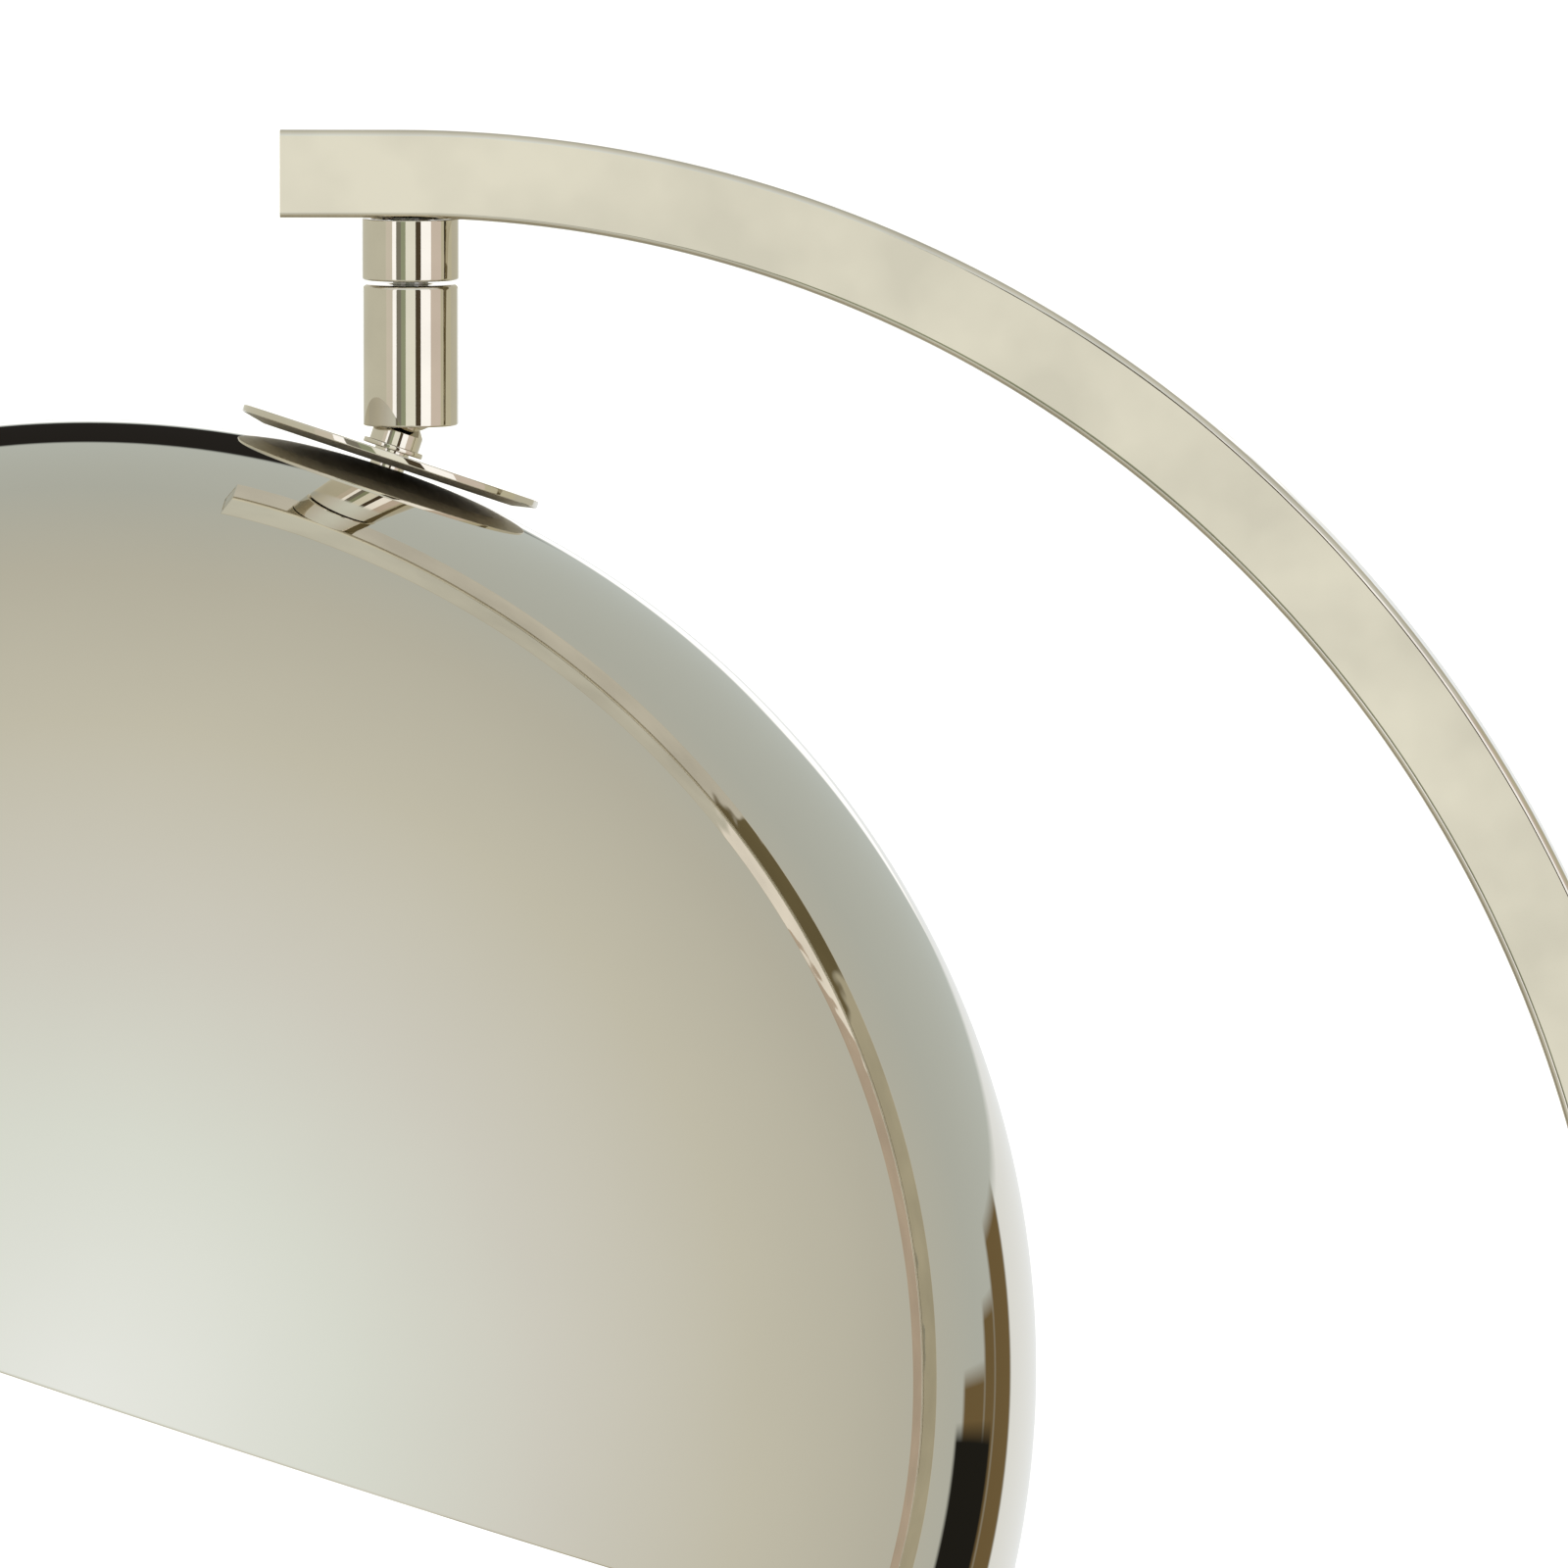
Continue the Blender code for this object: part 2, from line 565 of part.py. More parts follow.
def make_barrel(barrel):
    """Barrel with a rolled mouth, and the washer, spring and cup inside it."""
    top = BARREL_TOP
    bore = PIN_R + HOLE_PLAY
    seat_r = BALL_R + GAP
    seat_start = SEAT_TOP + SEAT_SHOULDER
    seat = arc(seat_r, -math.asin(LIP_DEPTH / seat_r), -math.asin(seat_start / seat_r), 3)
    profile = [(BARREL_R - BARREL_EDGE, top), (BARREL_R, top - BARREL_EDGE)]
    profile += [(BARREL_R, MOUTH_EDGE_H - BARREL_FOOT), (BARREL_R - MOUTH_EDGE_R, -BARREL_FOOT)]
    profile += [(BARREL_R - MOUTH_FLARE, -BARREL_FOOT), (LIP_R, -LIP_DEPTH - LIP_LAND)]
    profile += [*seat, (BARREL_BORE_R, -SEAT_TOP), (BARREL_BORE_R, BARREL_WALL_LOW)]
    profile += [(bore, BARREL_WALL_LOW), (bore, top)]
    add_piece("swivel_barrel", turned(profile), NICKEL, barrel)
    cup_r = BARREL_BORE_R - GAP
    washer = ring(bore, cup_r, WASHER_LOW, WASHER_LOW + FRICTION_WASHER_T, SEG_SMALL)
    add_piece("friction_washer", washer, NYLON, barrel)
    hollow = arc(seat_r, math.asin((CUP_TOP - CUP_H) / seat_r), math.pi / 2, 6)
    profile = [(0, CUP_TOP), (cup_r, CUP_TOP), (cup_r, CUP_TOP - CUP_H), *hollow[:-1]]
    cup = turned([*profile, (0, seat_r)], SEG_SMALL, False)
    add_piece("ball_cup", cup, NYLON, barrel)
    spring_low = CUP_TOP + GAP + SPRING_WIRE_R
    spring_high = PIN_HEAD_LOW - GAP - SPRING_WIRE_R
    add_piece("ball_spring", coil(spring_low, spring_high), STEEL, barrel)


def coil(low, high):
    """A closed helical wire between two heights of its centre line."""
    bm = bmesh.new()
    sides = 6
    steps = 20 * SPRING_TURNS
    rings = []
    for i in range(steps + 1):
        turn = math.tau * SPRING_TURNS * i / steps
        centre_z = low + (high - low) * i / steps
        verts = []
        for angle in corners(sides):
            radius = SPRING_R + SPRING_WIRE_R * math.cos(angle)
            z = centre_z + SPRING_WIRE_R * math.sin(angle)
            verts.append(bm.verts.new((radius * math.cos(turn), radius * math.sin(turn), z)))
        rings.append(verts)
    for near, far in zip(rings, rings[1:]):
        for j in range(sides):
            bm.faces.new((near[j - 1], near[j], far[j], far[j - 1]))
    bm.faces.new(rings[0])
    bm.faces.new(rings[-1])
    return bm


def make_ball_joint(head):
    """Ball stem, cap disc, and the washer and nut that hold the shell to the stem."""
    neck = math.asin(NECK_R / BALL_R) - math.pi / 2
    ball = arc(BALL_R, math.pi / 2, neck, 9)[1:]
    flange_low = -CAP_DEPTH + GAP
    flange_high = flange_low + STEM_FLANGE_T
    washer_high = -POLE_DEPTH - SHELL_WALL - LOCK_WASHER_PLAY
    nut_high = washer_high - LOCK_WASHER_T - GAP
    tip = nut_high - HEAD_NUT_H - HEAD_NUT_OVER
    profile = [(0, BALL_R), *ball, (STEM_R, -BALL_R - STEM_START), (STEM_R, flange_high)]
    profile += [(STEM_FLANGE_R, flange_high), (STEM_FLANGE_R, flange_low)]
    profile += [(SPIGOT_R, flange_low), (SPIGOT_R, tip), (0, tip)]
    add_piece("ball_stem", turned(profile, SEG, False), NICKEL, head)
    bore = SPIGOT_R + HOLE_PLAY
    top = -CAP_DEPTH
    profile = [(CAP_R, top), (CAP_R, top - CAP_RIM_T), (CAP_R - CAP_BEVEL, top - CAP_T)]
    profile += [(bore, top - CAP_T), (bore, top)]
    add_piece("cap_disc", turned(profile, SEG_LARGE), NICKEL, head)
    washer = ring(bore, LOCK_WASHER_R, washer_high - LOCK_WASHER_T, washer_high, SEG_SMALL)
    add_piece("lock_washer", washer, STEEL, head)
    add_piece("head_nut", hex_nut(HEAD_NUT_R, bore, nut_high - HEAD_NUT_H, nut_high), BRASS, head)


def make_shell(head):
    """Half-ball shell, open at its mouth and bored at its pole."""
    bore = SPIGOT_R + HOLE_PLAY
    inner_r = SHELL_R - SHELL_WALL
    centre = (0, -MOUTH_DEPTH)
    outside = arc(SHELL_R, math.acos(bore / SHELL_R), 0, 11, centre)
    inside = arc(inner_r, 0, math.acos(bore / inner_r), 11, centre)
    add_piece("dome_shell", turned(outside + inside, SEG_LARGE), NICKEL, head)


def make_mirror(head):
    """Retainer ring, glass, foam ring, backing plate and snap ring, from the mouth inwards."""
    low = -MOUTH_DEPTH + RETAINER_DEPTH
    wall_r = RETAINER_OUT_R - RETAINER_WALL
    lip_r = RETAINER_OUT_R - RETAINER_LIP
    lip_top = low + RETAINER_LIP_T
    profile = [(RETAINER_OUT_R, low + RETAINER_H), (RETAINER_OUT_R, low)]
    profile += [(lip_r + RETAINER_EDGE, low), (lip_r, low + RETAINER_EDGE), (lip_r, lip_top)]
    profile += [(wall_r, lip_top), (wall_r, low + RETAINER_H)]
    add_piece("retainer_ring", turned(profile, SEG_LARGE), NICKEL, head)
    glass_r = wall_r - GLASS_PLAY
    glass_low = lip_top + GAP
    glass_high = glass_low + GLASS_T
    profile = [(0, glass_high), (glass_r, glass_high), (glass_r, glass_low + GLASS_BEVEL)]
    profile += [(glass_r - GLASS_BEVEL, glass_low), (0, glass_low)]
    add_piece("mirror_glass", turned(profile, SEG_LARGE, False), GLASS, head)
    foam_low = glass_high + GAP
    foam_high = foam_low + FOAM_T
    foam = ring(glass_r - FOAM_WIDTH, glass_r - GAP, foam_low, foam_high, SEG_LARGE)
    add_piece("foam_ring", foam, FOAM, head)
    plate_low = foam_high + GAP
    plate_high = plate_low + PLATE_T
    add_piece("backing_plate", disc(glass_r, plate_low, plate_high, SEG_LARGE), STEEL, head)
    snap_z = plate_high + GAP + SNAP_WIRE_R
    wire_r = wall_r - GAP - SNAP_WIRE_R
    wire = arc(SNAP_WIRE_R, 0, math.tau, 6, (wire_r, snap_z))[:-1]
    add_piece("snap_ring", turned(wire[::-1], SEG_LARGE), STEEL, head)


def main():
    clear_scene()
    make_base()
    make_post()
    make_clamp_seat()
    make_clamp()
    leg = axis("leg_axis", (POST_X, 0, 0))
    make_arm(leg)
    make_swivel_seat(leg)
    barrel = axis("swivel_axis", (SWIVEL_X, 0, BALL_Z), leg, (0, 0, SWIVEL_SET))
    make_barrel(barrel)
    head = axis("head_axis", (0, 0, 0), barrel, (0, HEAD_TILT, 0))
    make_ball_joint(head)
    make_shell(head)
    make_mirror(head)


main()
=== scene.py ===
"""Looks of the extendable shaving mirror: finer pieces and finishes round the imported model.

Laid out as a Blender add-on. Metres, +Z up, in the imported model's own frame.
"""

import json
import math

import bmesh
import bpy
from mathutils import Matrix, Vector


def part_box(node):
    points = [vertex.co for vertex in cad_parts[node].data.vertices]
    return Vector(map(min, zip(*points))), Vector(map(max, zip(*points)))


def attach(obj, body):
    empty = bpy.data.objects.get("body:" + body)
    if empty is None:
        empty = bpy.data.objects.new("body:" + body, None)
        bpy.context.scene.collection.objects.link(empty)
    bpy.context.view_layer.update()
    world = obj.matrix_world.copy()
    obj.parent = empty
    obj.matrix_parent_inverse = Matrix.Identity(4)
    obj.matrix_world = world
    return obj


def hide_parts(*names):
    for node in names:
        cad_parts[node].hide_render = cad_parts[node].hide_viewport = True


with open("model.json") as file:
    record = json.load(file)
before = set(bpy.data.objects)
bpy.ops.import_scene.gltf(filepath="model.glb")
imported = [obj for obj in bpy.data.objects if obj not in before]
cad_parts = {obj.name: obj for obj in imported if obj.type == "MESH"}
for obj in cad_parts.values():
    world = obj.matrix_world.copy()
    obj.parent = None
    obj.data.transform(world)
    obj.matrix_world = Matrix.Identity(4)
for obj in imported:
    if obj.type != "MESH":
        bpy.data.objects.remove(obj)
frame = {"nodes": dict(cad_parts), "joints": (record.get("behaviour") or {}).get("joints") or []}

bl_info = {
    "name": "Extendable Shaving Mirror",
    "version": (1, 0, 0),
    "blender": (4, 5, 0),
    "location": "3D View > Sidebar > Shaving Mirror",
    "description": "Builds the visible pieces, finishes and studio of an extendable shaving mirror",
    "category": "Object",
}

MM = 0.001
GAP = 0.3 * MM  # between neighbouring pieces
SMOOTH_ANGLE = math.radians(35)
ALONG_X = Matrix.Rotation(math.pi / 2, 4, "Y")  # turns +Z to +X

# Facets
ROUND_LARGE = 240
ROUND = 128
ROUND_SMALL = 64
EASE_STEPS = 5  # round an eased edge
CORNER_STEPS = 6  # round a square tube's corner
ARC_STEP = math.radians(1)

ROUND_THE_TURNING = (0.05, 0.05, 1)  # stretches a noise into lines round a turned piece
SCREW_HOLE = 2.3 * MM
COLLAR_LIFT = 0.2 * MM  # closes the gap under the arm

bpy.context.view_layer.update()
JOINTS = {joint["name"]: joint for joint in frame["joints"]}


def linear(colour):
    """An sRGB hex colour, such as "E7E5DD", as linear red, green and blue."""
    parts = [int(colour[i : i + 2], 16) / 255 for i in (0, 2, 4)]
    return tuple(c / 12.92 if c <= 0.04045 else ((c + 0.055) / 1.055) ** 2.4 for c in parts)


def length(name, description, value):
    return bpy.props.FloatProperty(
        name=name, description=description, default=value, min=0, subtype="DISTANCE", unit="LENGTH"
    )


def angle(name, description, degrees):
    return bpy.props.FloatProperty(
        name=name, description=description, default=math.radians(degrees), subtype="ANGLE",
        unit="ROTATION",
    )


def colour(name, description, value):
    return bpy.props.FloatVectorProperty(
        name=name, description=description, default=linear(value), min=0, max=1, size=3,
        subtype="COLOR",
    )


def count(name, description, value):
    return bpy.props.IntProperty(name=name, description=description, default=value, min=1)


class ArmSizes(bpy.types.PropertyGroup):
    """The bent square tube and the swivel under its end"""

    side: length("Tube side", "Outside of the square tube", 10 * MM)
    wall: length("Tube wall", "Wall of the square tube", 1.2 * MM)
    corner: length("Tube corner", "Outside radius of the tube's corners", 0.9 * MM)
    shoulder: length("Shoulder height", "Height at which the leg starts to bend", 248 * MM)
    lower_radius: length("Lower bend", "Centre-line radius of the bend next to the leg", 150 * MM)
    upper_radius: length("Upper bend", "Centre-line radius of the bend next to the end", 138.5 * MM)
    upper_sweep: angle("Upper sweep", "Angle of the upper bend", 40)
    collar_radius: length("Collar radius", "Collar under the arm's end", 5.5 * MM)
    barrel_radius: length("Barrel radius", "Barrel that swivels under the collar", 5.4 * MM)
    barrel_bore: length("Barrel bore", "Inside radius of the barrel", 4.7 * MM)
    ball_radius: length("Ball radius", "Ball of the joint in the barrel", 4.2 * MM)


class HeadSizes(bpy.types.PropertyGroup):
    """The half-ball shell, its cap disc and the mirror in its mouth"""

    tilt: angle("Rest tilt", "Angle of the head's axis from upright, at rest", 18.8)
    shell_radius: length("Shell radius", "Outside radius of the half ball", 107.5 * MM)
    shell_wall: length("Shell wall", "Wall of the half ball", 1 * MM)
    cap_radius: length("Cap disc radius", "Disc between the shell and the stem", 17.6 * MM)
    cap_thickness: length("Cap disc thickness", "At the middle of the disc", 1.4 * MM)
    cap_rim: length("Cap disc rim", "Height of the disc's upright rim", 0.8 * MM)
    cap_bevel: length("Cap disc bevel", "Width of the slope under the rim", 2.8 * MM)
    glass_thickness: length("Glass thickness", "Mirror glass", 3 * MM)
    glass_bevel: length("Glass bevel", "Ground edge of the mirror glass", 0.8 * MM)


class BaseSizes(bpy.types.PropertyGroup):
    """The base cover, the square post and the clamp at its top"""

    edge: length("Cover edge", "Rounding of the base cover's top edge", 4 * MM)
    cover_wall: length("Cover wall", "Wall of the base cover", 1.2 * MM)
    post_side: length("Post side", "Outside of the square post", 16 * MM)
    post_wall: length("Post wall", "Wall of the square post", 1.2 * MM)
    post_corner: length("Post corner", "Outside radius of the post's corners", 1.5 * MM)
    pad_grooves: count("Pad grooves", "Rings moulded under the foot pad", 5)
    knob_radius: length("Knob radius", "Clamp knob", 9 * MM)
    knob_flutes: count("Knob flutes", "Finger flutes round the knob", 12)
    flute_depth: length("Flute depth", "Depth of each finger flute", 0.9 * MM)


class FinishColours(bpy.types.PropertyGroup):
    """Colours of the finishes and the studio"""

    nickel: colour("Nickel", "Polished nickel plate", "DFD9CC")
    steel: colour("Steel", "Zinc-plated steel", "B4B4AF")
    iron: colour("Iron", "Cast iron", "3A3938")
    brass: colour("Brass", "Turned brass", "C8A45C")
    nylon: colour("Nylon", "Moulded nylon", "E6E3D8")
    rubber: colour("Rubber", "Moulded rubber", "1E1E1E")
    foam: colour("Foam", "Closed-cell foam", "2A2A2B")
    silver: colour("Silvering", "Silvered glass", "EEF2F0")
    floor: colour("Floor", "Pale floor", "F4F4F2")


# ---------- nodes


def add(tree, kind, inputs=None, **settings):
    """Adds a node with its settings. Inputs take a value or another node's output socket."""
    node = tree.nodes.new(kind)
    for name, value in settings.items():
        setattr(node, name, value)
    for key, value in (inputs or {}).items():
        if isinstance(value, bpy.types.NodeSocket):
            tree.links.new(value, node.inputs[key])
        else:
            node.inputs[key].default_value = value
    return node


def maths(tree, operation, first, second=0.0):
    """The output of a Math node on two numbers or sockets."""
    return add(tree, "ShaderNodeMath", {0: first, 1: second}, operation=operation).outputs[0]


def blank_material(name, constants=None):
    """A new material's node tree and shader, with these constants on the shader."""
    material = bpy.data.materials.new(name)
    material.use_nodes = True
    tree = material.node_tree
    tree.nodes.clear()
    shader = add(tree, "ShaderNodeBsdfPrincipled", constants)
    add(tree, "ShaderNodeOutputMaterial", {"Surface": shader.outputs[0]})
    return tree, shader


def object_noise(tree, size, detail=2.0, stretch=(1, 1, 1)):
    """Noise on Object coordinates whose features are about size across, as a 0 to 1 socket."""
    place = add(tree, "ShaderNodeTexCoord").outputs["Object"]
    mapping = add(tree, "ShaderNodeMapping", {"Vector": place, "Scale": stretch})
    inputs = {"Vector": mapping.outputs[0], "Scale": 1 / size, "Detail": detail}
    return add(tree, "ShaderNodeTexNoise", inputs).outputs["Fac"]


def spread(tree, value, low, high, start=0.3, end=0.7):
    """Maps the range from start to end, such as the middle of a noise, to that from low to high."""
    inputs = {"Value": value, "From Min": start, "From Max": end, "To Min": low, "To Max": high}
    return add(tree, "ShaderNodeMapRange", inputs).outputs[0]


def mixed(tree, value, first, second):
    """Goes from the first colour to the second as the value goes from 0 to 1."""
    inputs = {0: value, 6: first, 7: second}
    return add(tree, "ShaderNodeMix", inputs, data_type="RGBA").outputs[2]


def bump(tree, shader, height, depth, strength=1.0):
    inputs = {"Height": height, "Distance": depth, "Strength": strength}
    tree.links.new(add(tree, "ShaderNodeBump", inputs).outputs[0], shader.inputs["Normal"])


def mottle(tree, shader, value, tone, factor, roughness=None, middle=(0.3, 0.7)):
    """Varies the colour between a tone and a darker or lighter one, and the roughness with it."""
    other = [min(1, c * factor) for c in tone]
    tint = mixed(tree, spread(tree, value, 0, 1, *middle), (*tone, 1), (*other, 1))
    tree.links.new(tint, shader.inputs["Base Color"])
    if roughness:
        tree.links.new(spread(tree, value, *roughness), shader.inputs["Roughness"])


# ---------- finishes


def buffed_nickel(tone):
    """Nickel plate on spun sheet, buffed fully bright: a warm mirror with faint cloudiness and waves."""
    tree, shader = blank_material("buffed_nickel", {"Metallic": 1, "Roughness": 0})
    mottle(tree, shader, object_noise(tree, 30 * MM, 3), tone, 0.98)
    bump(tree, shader, object_noise(tree, 22 * MM, 1), 0.01 * MM, 0.5)


def turned_nickel(tone):
    """Nickel plate on small turned pieces: bright, softened a little by fine lines round the turning."""
    tree, shader = blank_material("turned_nickel", {"Metallic": 1})
    haze = object_noise(tree, 6 * MM, 3)
    # Real lines are under 0.01 mm apart, so these are drawn wide enough to show.
    lines = object_noise(tree, 0.3 * MM, 1, ROUND_THE_TURNING)
    scratch = spread(tree, lines, 0, 0.02, 0.55, 0.75)
    rough = maths(tree, "ADD", spread(tree, haze, 0.02, 0.04), scratch)
    tree.links.new(rough, shader.inputs["Roughness"])
    mottle(tree, shader, haze, tone, 0.93)
    bump(tree, shader, object_noise(tree, 5 * MM, 1), 0.01 * MM, 0.5)


def satin_nickel(tone):
    """Nickel plate over a face left as turned: a soft sheen that takes light from all round it."""
    tree, shader = blank_material("satin_nickel", {"Metallic": 1, "Roughness": 0.5})
    mottle(tree, shader, object_noise(tree, 0.4 * MM, 1, ROUND_THE_TURNING), tone, 0.9)


def drawn_nickel(tone):
    """Nickel plate on drawn tube: bright, over the long slight waves that drawing leaves."""
    tree, shader = blank_material("nickel_plated_tube", {"Metallic": 1})
    cloud = object_noise(tree, 16 * MM, 3)
    mottle(tree, shader, cloud, tone, 0.86, (0.02, 0.05), (0.35, 0.65))
    bump(tree, shader, object_noise(tree, 18 * MM, 2), 0.3 * MM)


def zinc_steel(tone):
    """Zinc-plated steel: a cool grey metal with a fine frosted spangle."""
    tree, shader = blank_material("bright_zinc_steel", {"Metallic": 1})
    grains = object_noise(tree, 0.8 * MM, 3)
    mottle(tree, shader, grains, tone, 0.88, (0.28, 0.42))
    bump(tree, shader, grains, 0.01 * MM, 0.5)


def cast_iron(tone):
    """Sand-cast iron under black paint: a dull, pitted skin from the sand's grain."""
    tree, shader = blank_material("rough_cast_iron", {"Metallic": 0.4})
    sand = object_noise(tree, 0.7 * MM, 4)
    mottle(tree, shader, sand, tone, 1.5, (0.55, 0.8))
    bump(tree, shader, sand, 0.15 * MM)


def turned_brass(tone):
    """Turned brass: yellow metal with faint tool marks and a little tarnish."""
    tree, shader = blank_material("turned_brass", {"Metallic": 1})
    mottle(tree, shader, object_noise(tree, 2 * MM, 3), tone, 0.75, (0.2, 0.38))
    bump(tree, shader, object_noise(tree, 0.3 * MM, 1), 0.004 * MM, 0.5)


def moulded_nylon(tone):
    """Natural nylon: an off-white, waxy plastic that light enters a little."""
    constants = {"Roughness": 0.42, "IOR": 1.53}
    constants |= {"Subsurface Weight": 0.15, "Subsurface Scale": 1 * MM}
    tree, shader = blank_material("moulded_nylon", constants)
    mottle(tree, shader, object_noise(tree, 4 * MM, 2), tone, 0.94)
    bump(tree, shader, object_noise(tree, 0.4 * MM, 2), 0.006 * MM, 0.5)


def moulded_rubber(tone):
    """Moulded rubber: near black and matt, with a fine mould grain and a grey bloom."""
    tree, shader = blank_material("moulded_rubber", {"IOR": 1.52})
    mottle(tree, shader, object_noise(tree, 12 * MM, 4), tone, 2.2, (0.6, 0.82))
    bump(tree, shader, object_noise(tree, 0.5 * MM, 2), 0.03 * MM)


def closed_foam(tone):
    """Closed-cell foam: dark and soft, pitted by cut cells about half a millimetre wide."""
    tree, shader = blank_material("closed_cell_foam", {"Roughness": 0.92})
    place = add(tree, "ShaderNodeTexCoord").outputs["Object"]
    cells = add(tree, "ShaderNodeTexVoronoi", {"Vector": place, "Scale": 1 / (0.5 * MM)})
    mottle(tree, shader, cells.outputs["Distance"], tone, 1.6, middle=(0, 1))
    bump(tree, shader, cells.outputs["Distance"], 0.15 * MM)


def silvered_glass(tone):
    """Second-surface mirror: a bright, slightly green silver layer under clear glass."""
    constants = {"Metallic": 1, "Coat Weight": 1, "Coat Roughness": 0.005, "Coat IOR": 1.52}
    tree, shader = blank_material("silvered_mirror_glass", constants)
    mottle(tree, shader, object_noise(tree, 6 * MM, 4), tone, 0.985, (0.006, 0.02))


def backing_paint(tone):
    """Lead-free mirror backing paint: flat grey with a slight orange peel."""
    tree, shader = blank_material("mirror_backing_paint")
    peel = object_noise(tree, 1.5 * MM, 2)
    mottle(tree, shader, peel, tone, 0.9, (0.45, 0.6))
    bump(tree, shader, peel, 0.02 * MM)


def studio_floor(tone):
    """Matt painted board: pale and even, with the faintest mottling."""
    tree, shader = blank_material("studio_floor", {"Roughness": 0.7, "Specular IOR Level": 0.2})
    mottle(tree, shader, object_noise(tree, 0.2, 3), tone, 0.98)


def finish(name):
    """The material of that name, which the finishes operator has made."""
    return bpy.data.materials[name]


# ---------- shapes


def eased(outline, closed=True):
    """Rounds the corners of an outline of (across, up, radius) points."""
    points = []
    last = len(outline) - 1
    for i, (x, z, radius) in enumerate(outline):
        here = Vector((x, z))
        if radius == 0 or (not closed and i in (0, last)):
            points.append((x, z))
            continue
        back = (Vector(outline[i - 1][:2]) - here).normalized()
        on = (Vector(outline[(i + 1) % len(outline)][:2]) - here).normalized()
        half = back.angle(on) / 2
        centre = here + (back + on).normalized() * radius / math.sin(half)
        reach = radius / math.tan(half)
        first = here + back * reach - centre
        final = here + on * reach - centre
        sweep = math.pi - 2 * half
        for k in range(EASE_STEPS + 1):
            t = k / EASE_STEPS
            mixed = first * math.sin((1 - t) * sweep) + final * math.sin(t * sweep)
            points.append(tuple(centre + mixed / math.sin(sweep)))
    return points


def arc(radius, start, end, steps, centre=(0.0, 0.0)):
    """Points on an arc, angles from across towards up, both ends included."""
    turns = [start + (end - start) * i / steps for i in range(steps + 1)]
    return [(centre[0] + radius * math.cos(a), centre[1] + radius * math.sin(a)) for a in turns]


def turned(outline, segments, closed=True):
    """A closed surface turned round Z. An open outline starts and ends on Z."""
    bm = bmesh.new()
    rows = []
    for r, z in outline:
        if r == 0:
            rows.append([bm.verts.new((0, 0, z))] * segments)
            continue
        turns = [math.tau * i / segments for i in range(segments)]
        rows.append([bm.verts.new((r * math.cos(a), r * math.sin(a), z)) for a in turns])
    pairs = list(zip(rows, rows[1:]))
    if closed:
        pairs.append((rows[-1], rows[0]))
    for near, far in pairs:
        for i in range(segments):
            around = [near[i - 1], near[i], far[i], far[i - 1]]
            corners = list(dict.fromkeys(around))
            if len(corners) > 2:
                bm.faces.new(corners)
    return bm


def square_loop(half, corner):
    """Points round a square with rounded corners, half being half its side."""
    points = []
    for i, (sx, sy) in enumerate(((1, 1), (-1, 1), (-1, -1), (1, -1))):
        start = i * math.pi / 2
        middle = (sx * (half - corner), sy * (half - corner))
        points += arc(corner, start, start + math.pi / 2, CORNER_STEPS, middle)
    return points


def square_turned(outline, corner, closed=True):
    """A closed surface whose level sections are rounded squares. The outline holds (half side, height).

    The corner is the radius at the widest section, and grows and shrinks with the section. Where the
    outline isn't closed, its first and last sections are filled.
    """
    bm = bmesh.new()
    widest = max(half for half, _ in outline)
    smallest = 0.1 * MM
    rows = []
    for half, z in outline:
        radius = max(smallest, corner + half - widest)
        rows.append([bm.verts.new((x, y, z)) for x, y in square_loop(half, radius)])
    pairs = list(zip(rows, rows[1:]))
    if closed:
        pairs.append((rows[-1], rows[0]))
    for near, far in pairs:
        for i in range(len(near)):
            bm.faces.new((near[i - 1], near[i], far[i], far[i - 1]))
    if not closed:
        bm.faces.new(rows[0])
        bm.faces.new(rows[-1])
    return bm


def make_object(name, bm):
    """An object from a bmesh, with its faces outwards."""
    bmesh.ops.recalc_face_normals(bm, faces=bm.faces)
    mesh = bpy.data.meshes.new(name)
    bm.to_mesh(mesh)
    bm.free()
    return new_object(name, mesh)


def cut(obj, shape, place):
    """Cuts a placed shape out of the object."""
    cutter = make_object("cutter", shape)
    cutter.data.transform(place)
    modifier = obj.modifiers.new("cut", "BOOLEAN")
    modifier.operation = "DIFFERENCE"
    modifier.object = cutter
    settle(obj)
    bpy.data.objects.remove(cutter)


def bored(obj, radius, start, end, place):
    """Bores a round hole along the placed Z axis."""
    outline = [(0, end), (radius, end), (radius, start), (0, start)]
    cut(obj, turned(outline, ROUND_SMALL, False), place)


def settle(obj):
    """Makes the evaluated object its own plain mesh, and removes its modifiers."""
    bpy.context.view_layer.update()
    graph = bpy.context.evaluated_depsgraph_get()
    mesh = bpy.data.meshes.new_from_object(obj.evaluated_get(graph))
    obj.modifiers.clear()
    obj.data = mesh


def new_object(name, mesh):
    """An object with this mesh, light or camera, in the scene."""
    obj = bpy.data.objects.new(name, mesh)
    bpy.context.scene.collection.objects.link(obj)
    return obj


def two_faced(obj, material, other, side):
    """Gives the faces that look along Z, up or down by the side's sign, a material of their own."""
    mesh = obj.data
    mesh.materials.append(finish(material))
    mesh.materials.append(finish(other))
    for face in mesh.polygons:
        face.material_index = int(face.normal.z * side > 0.9)


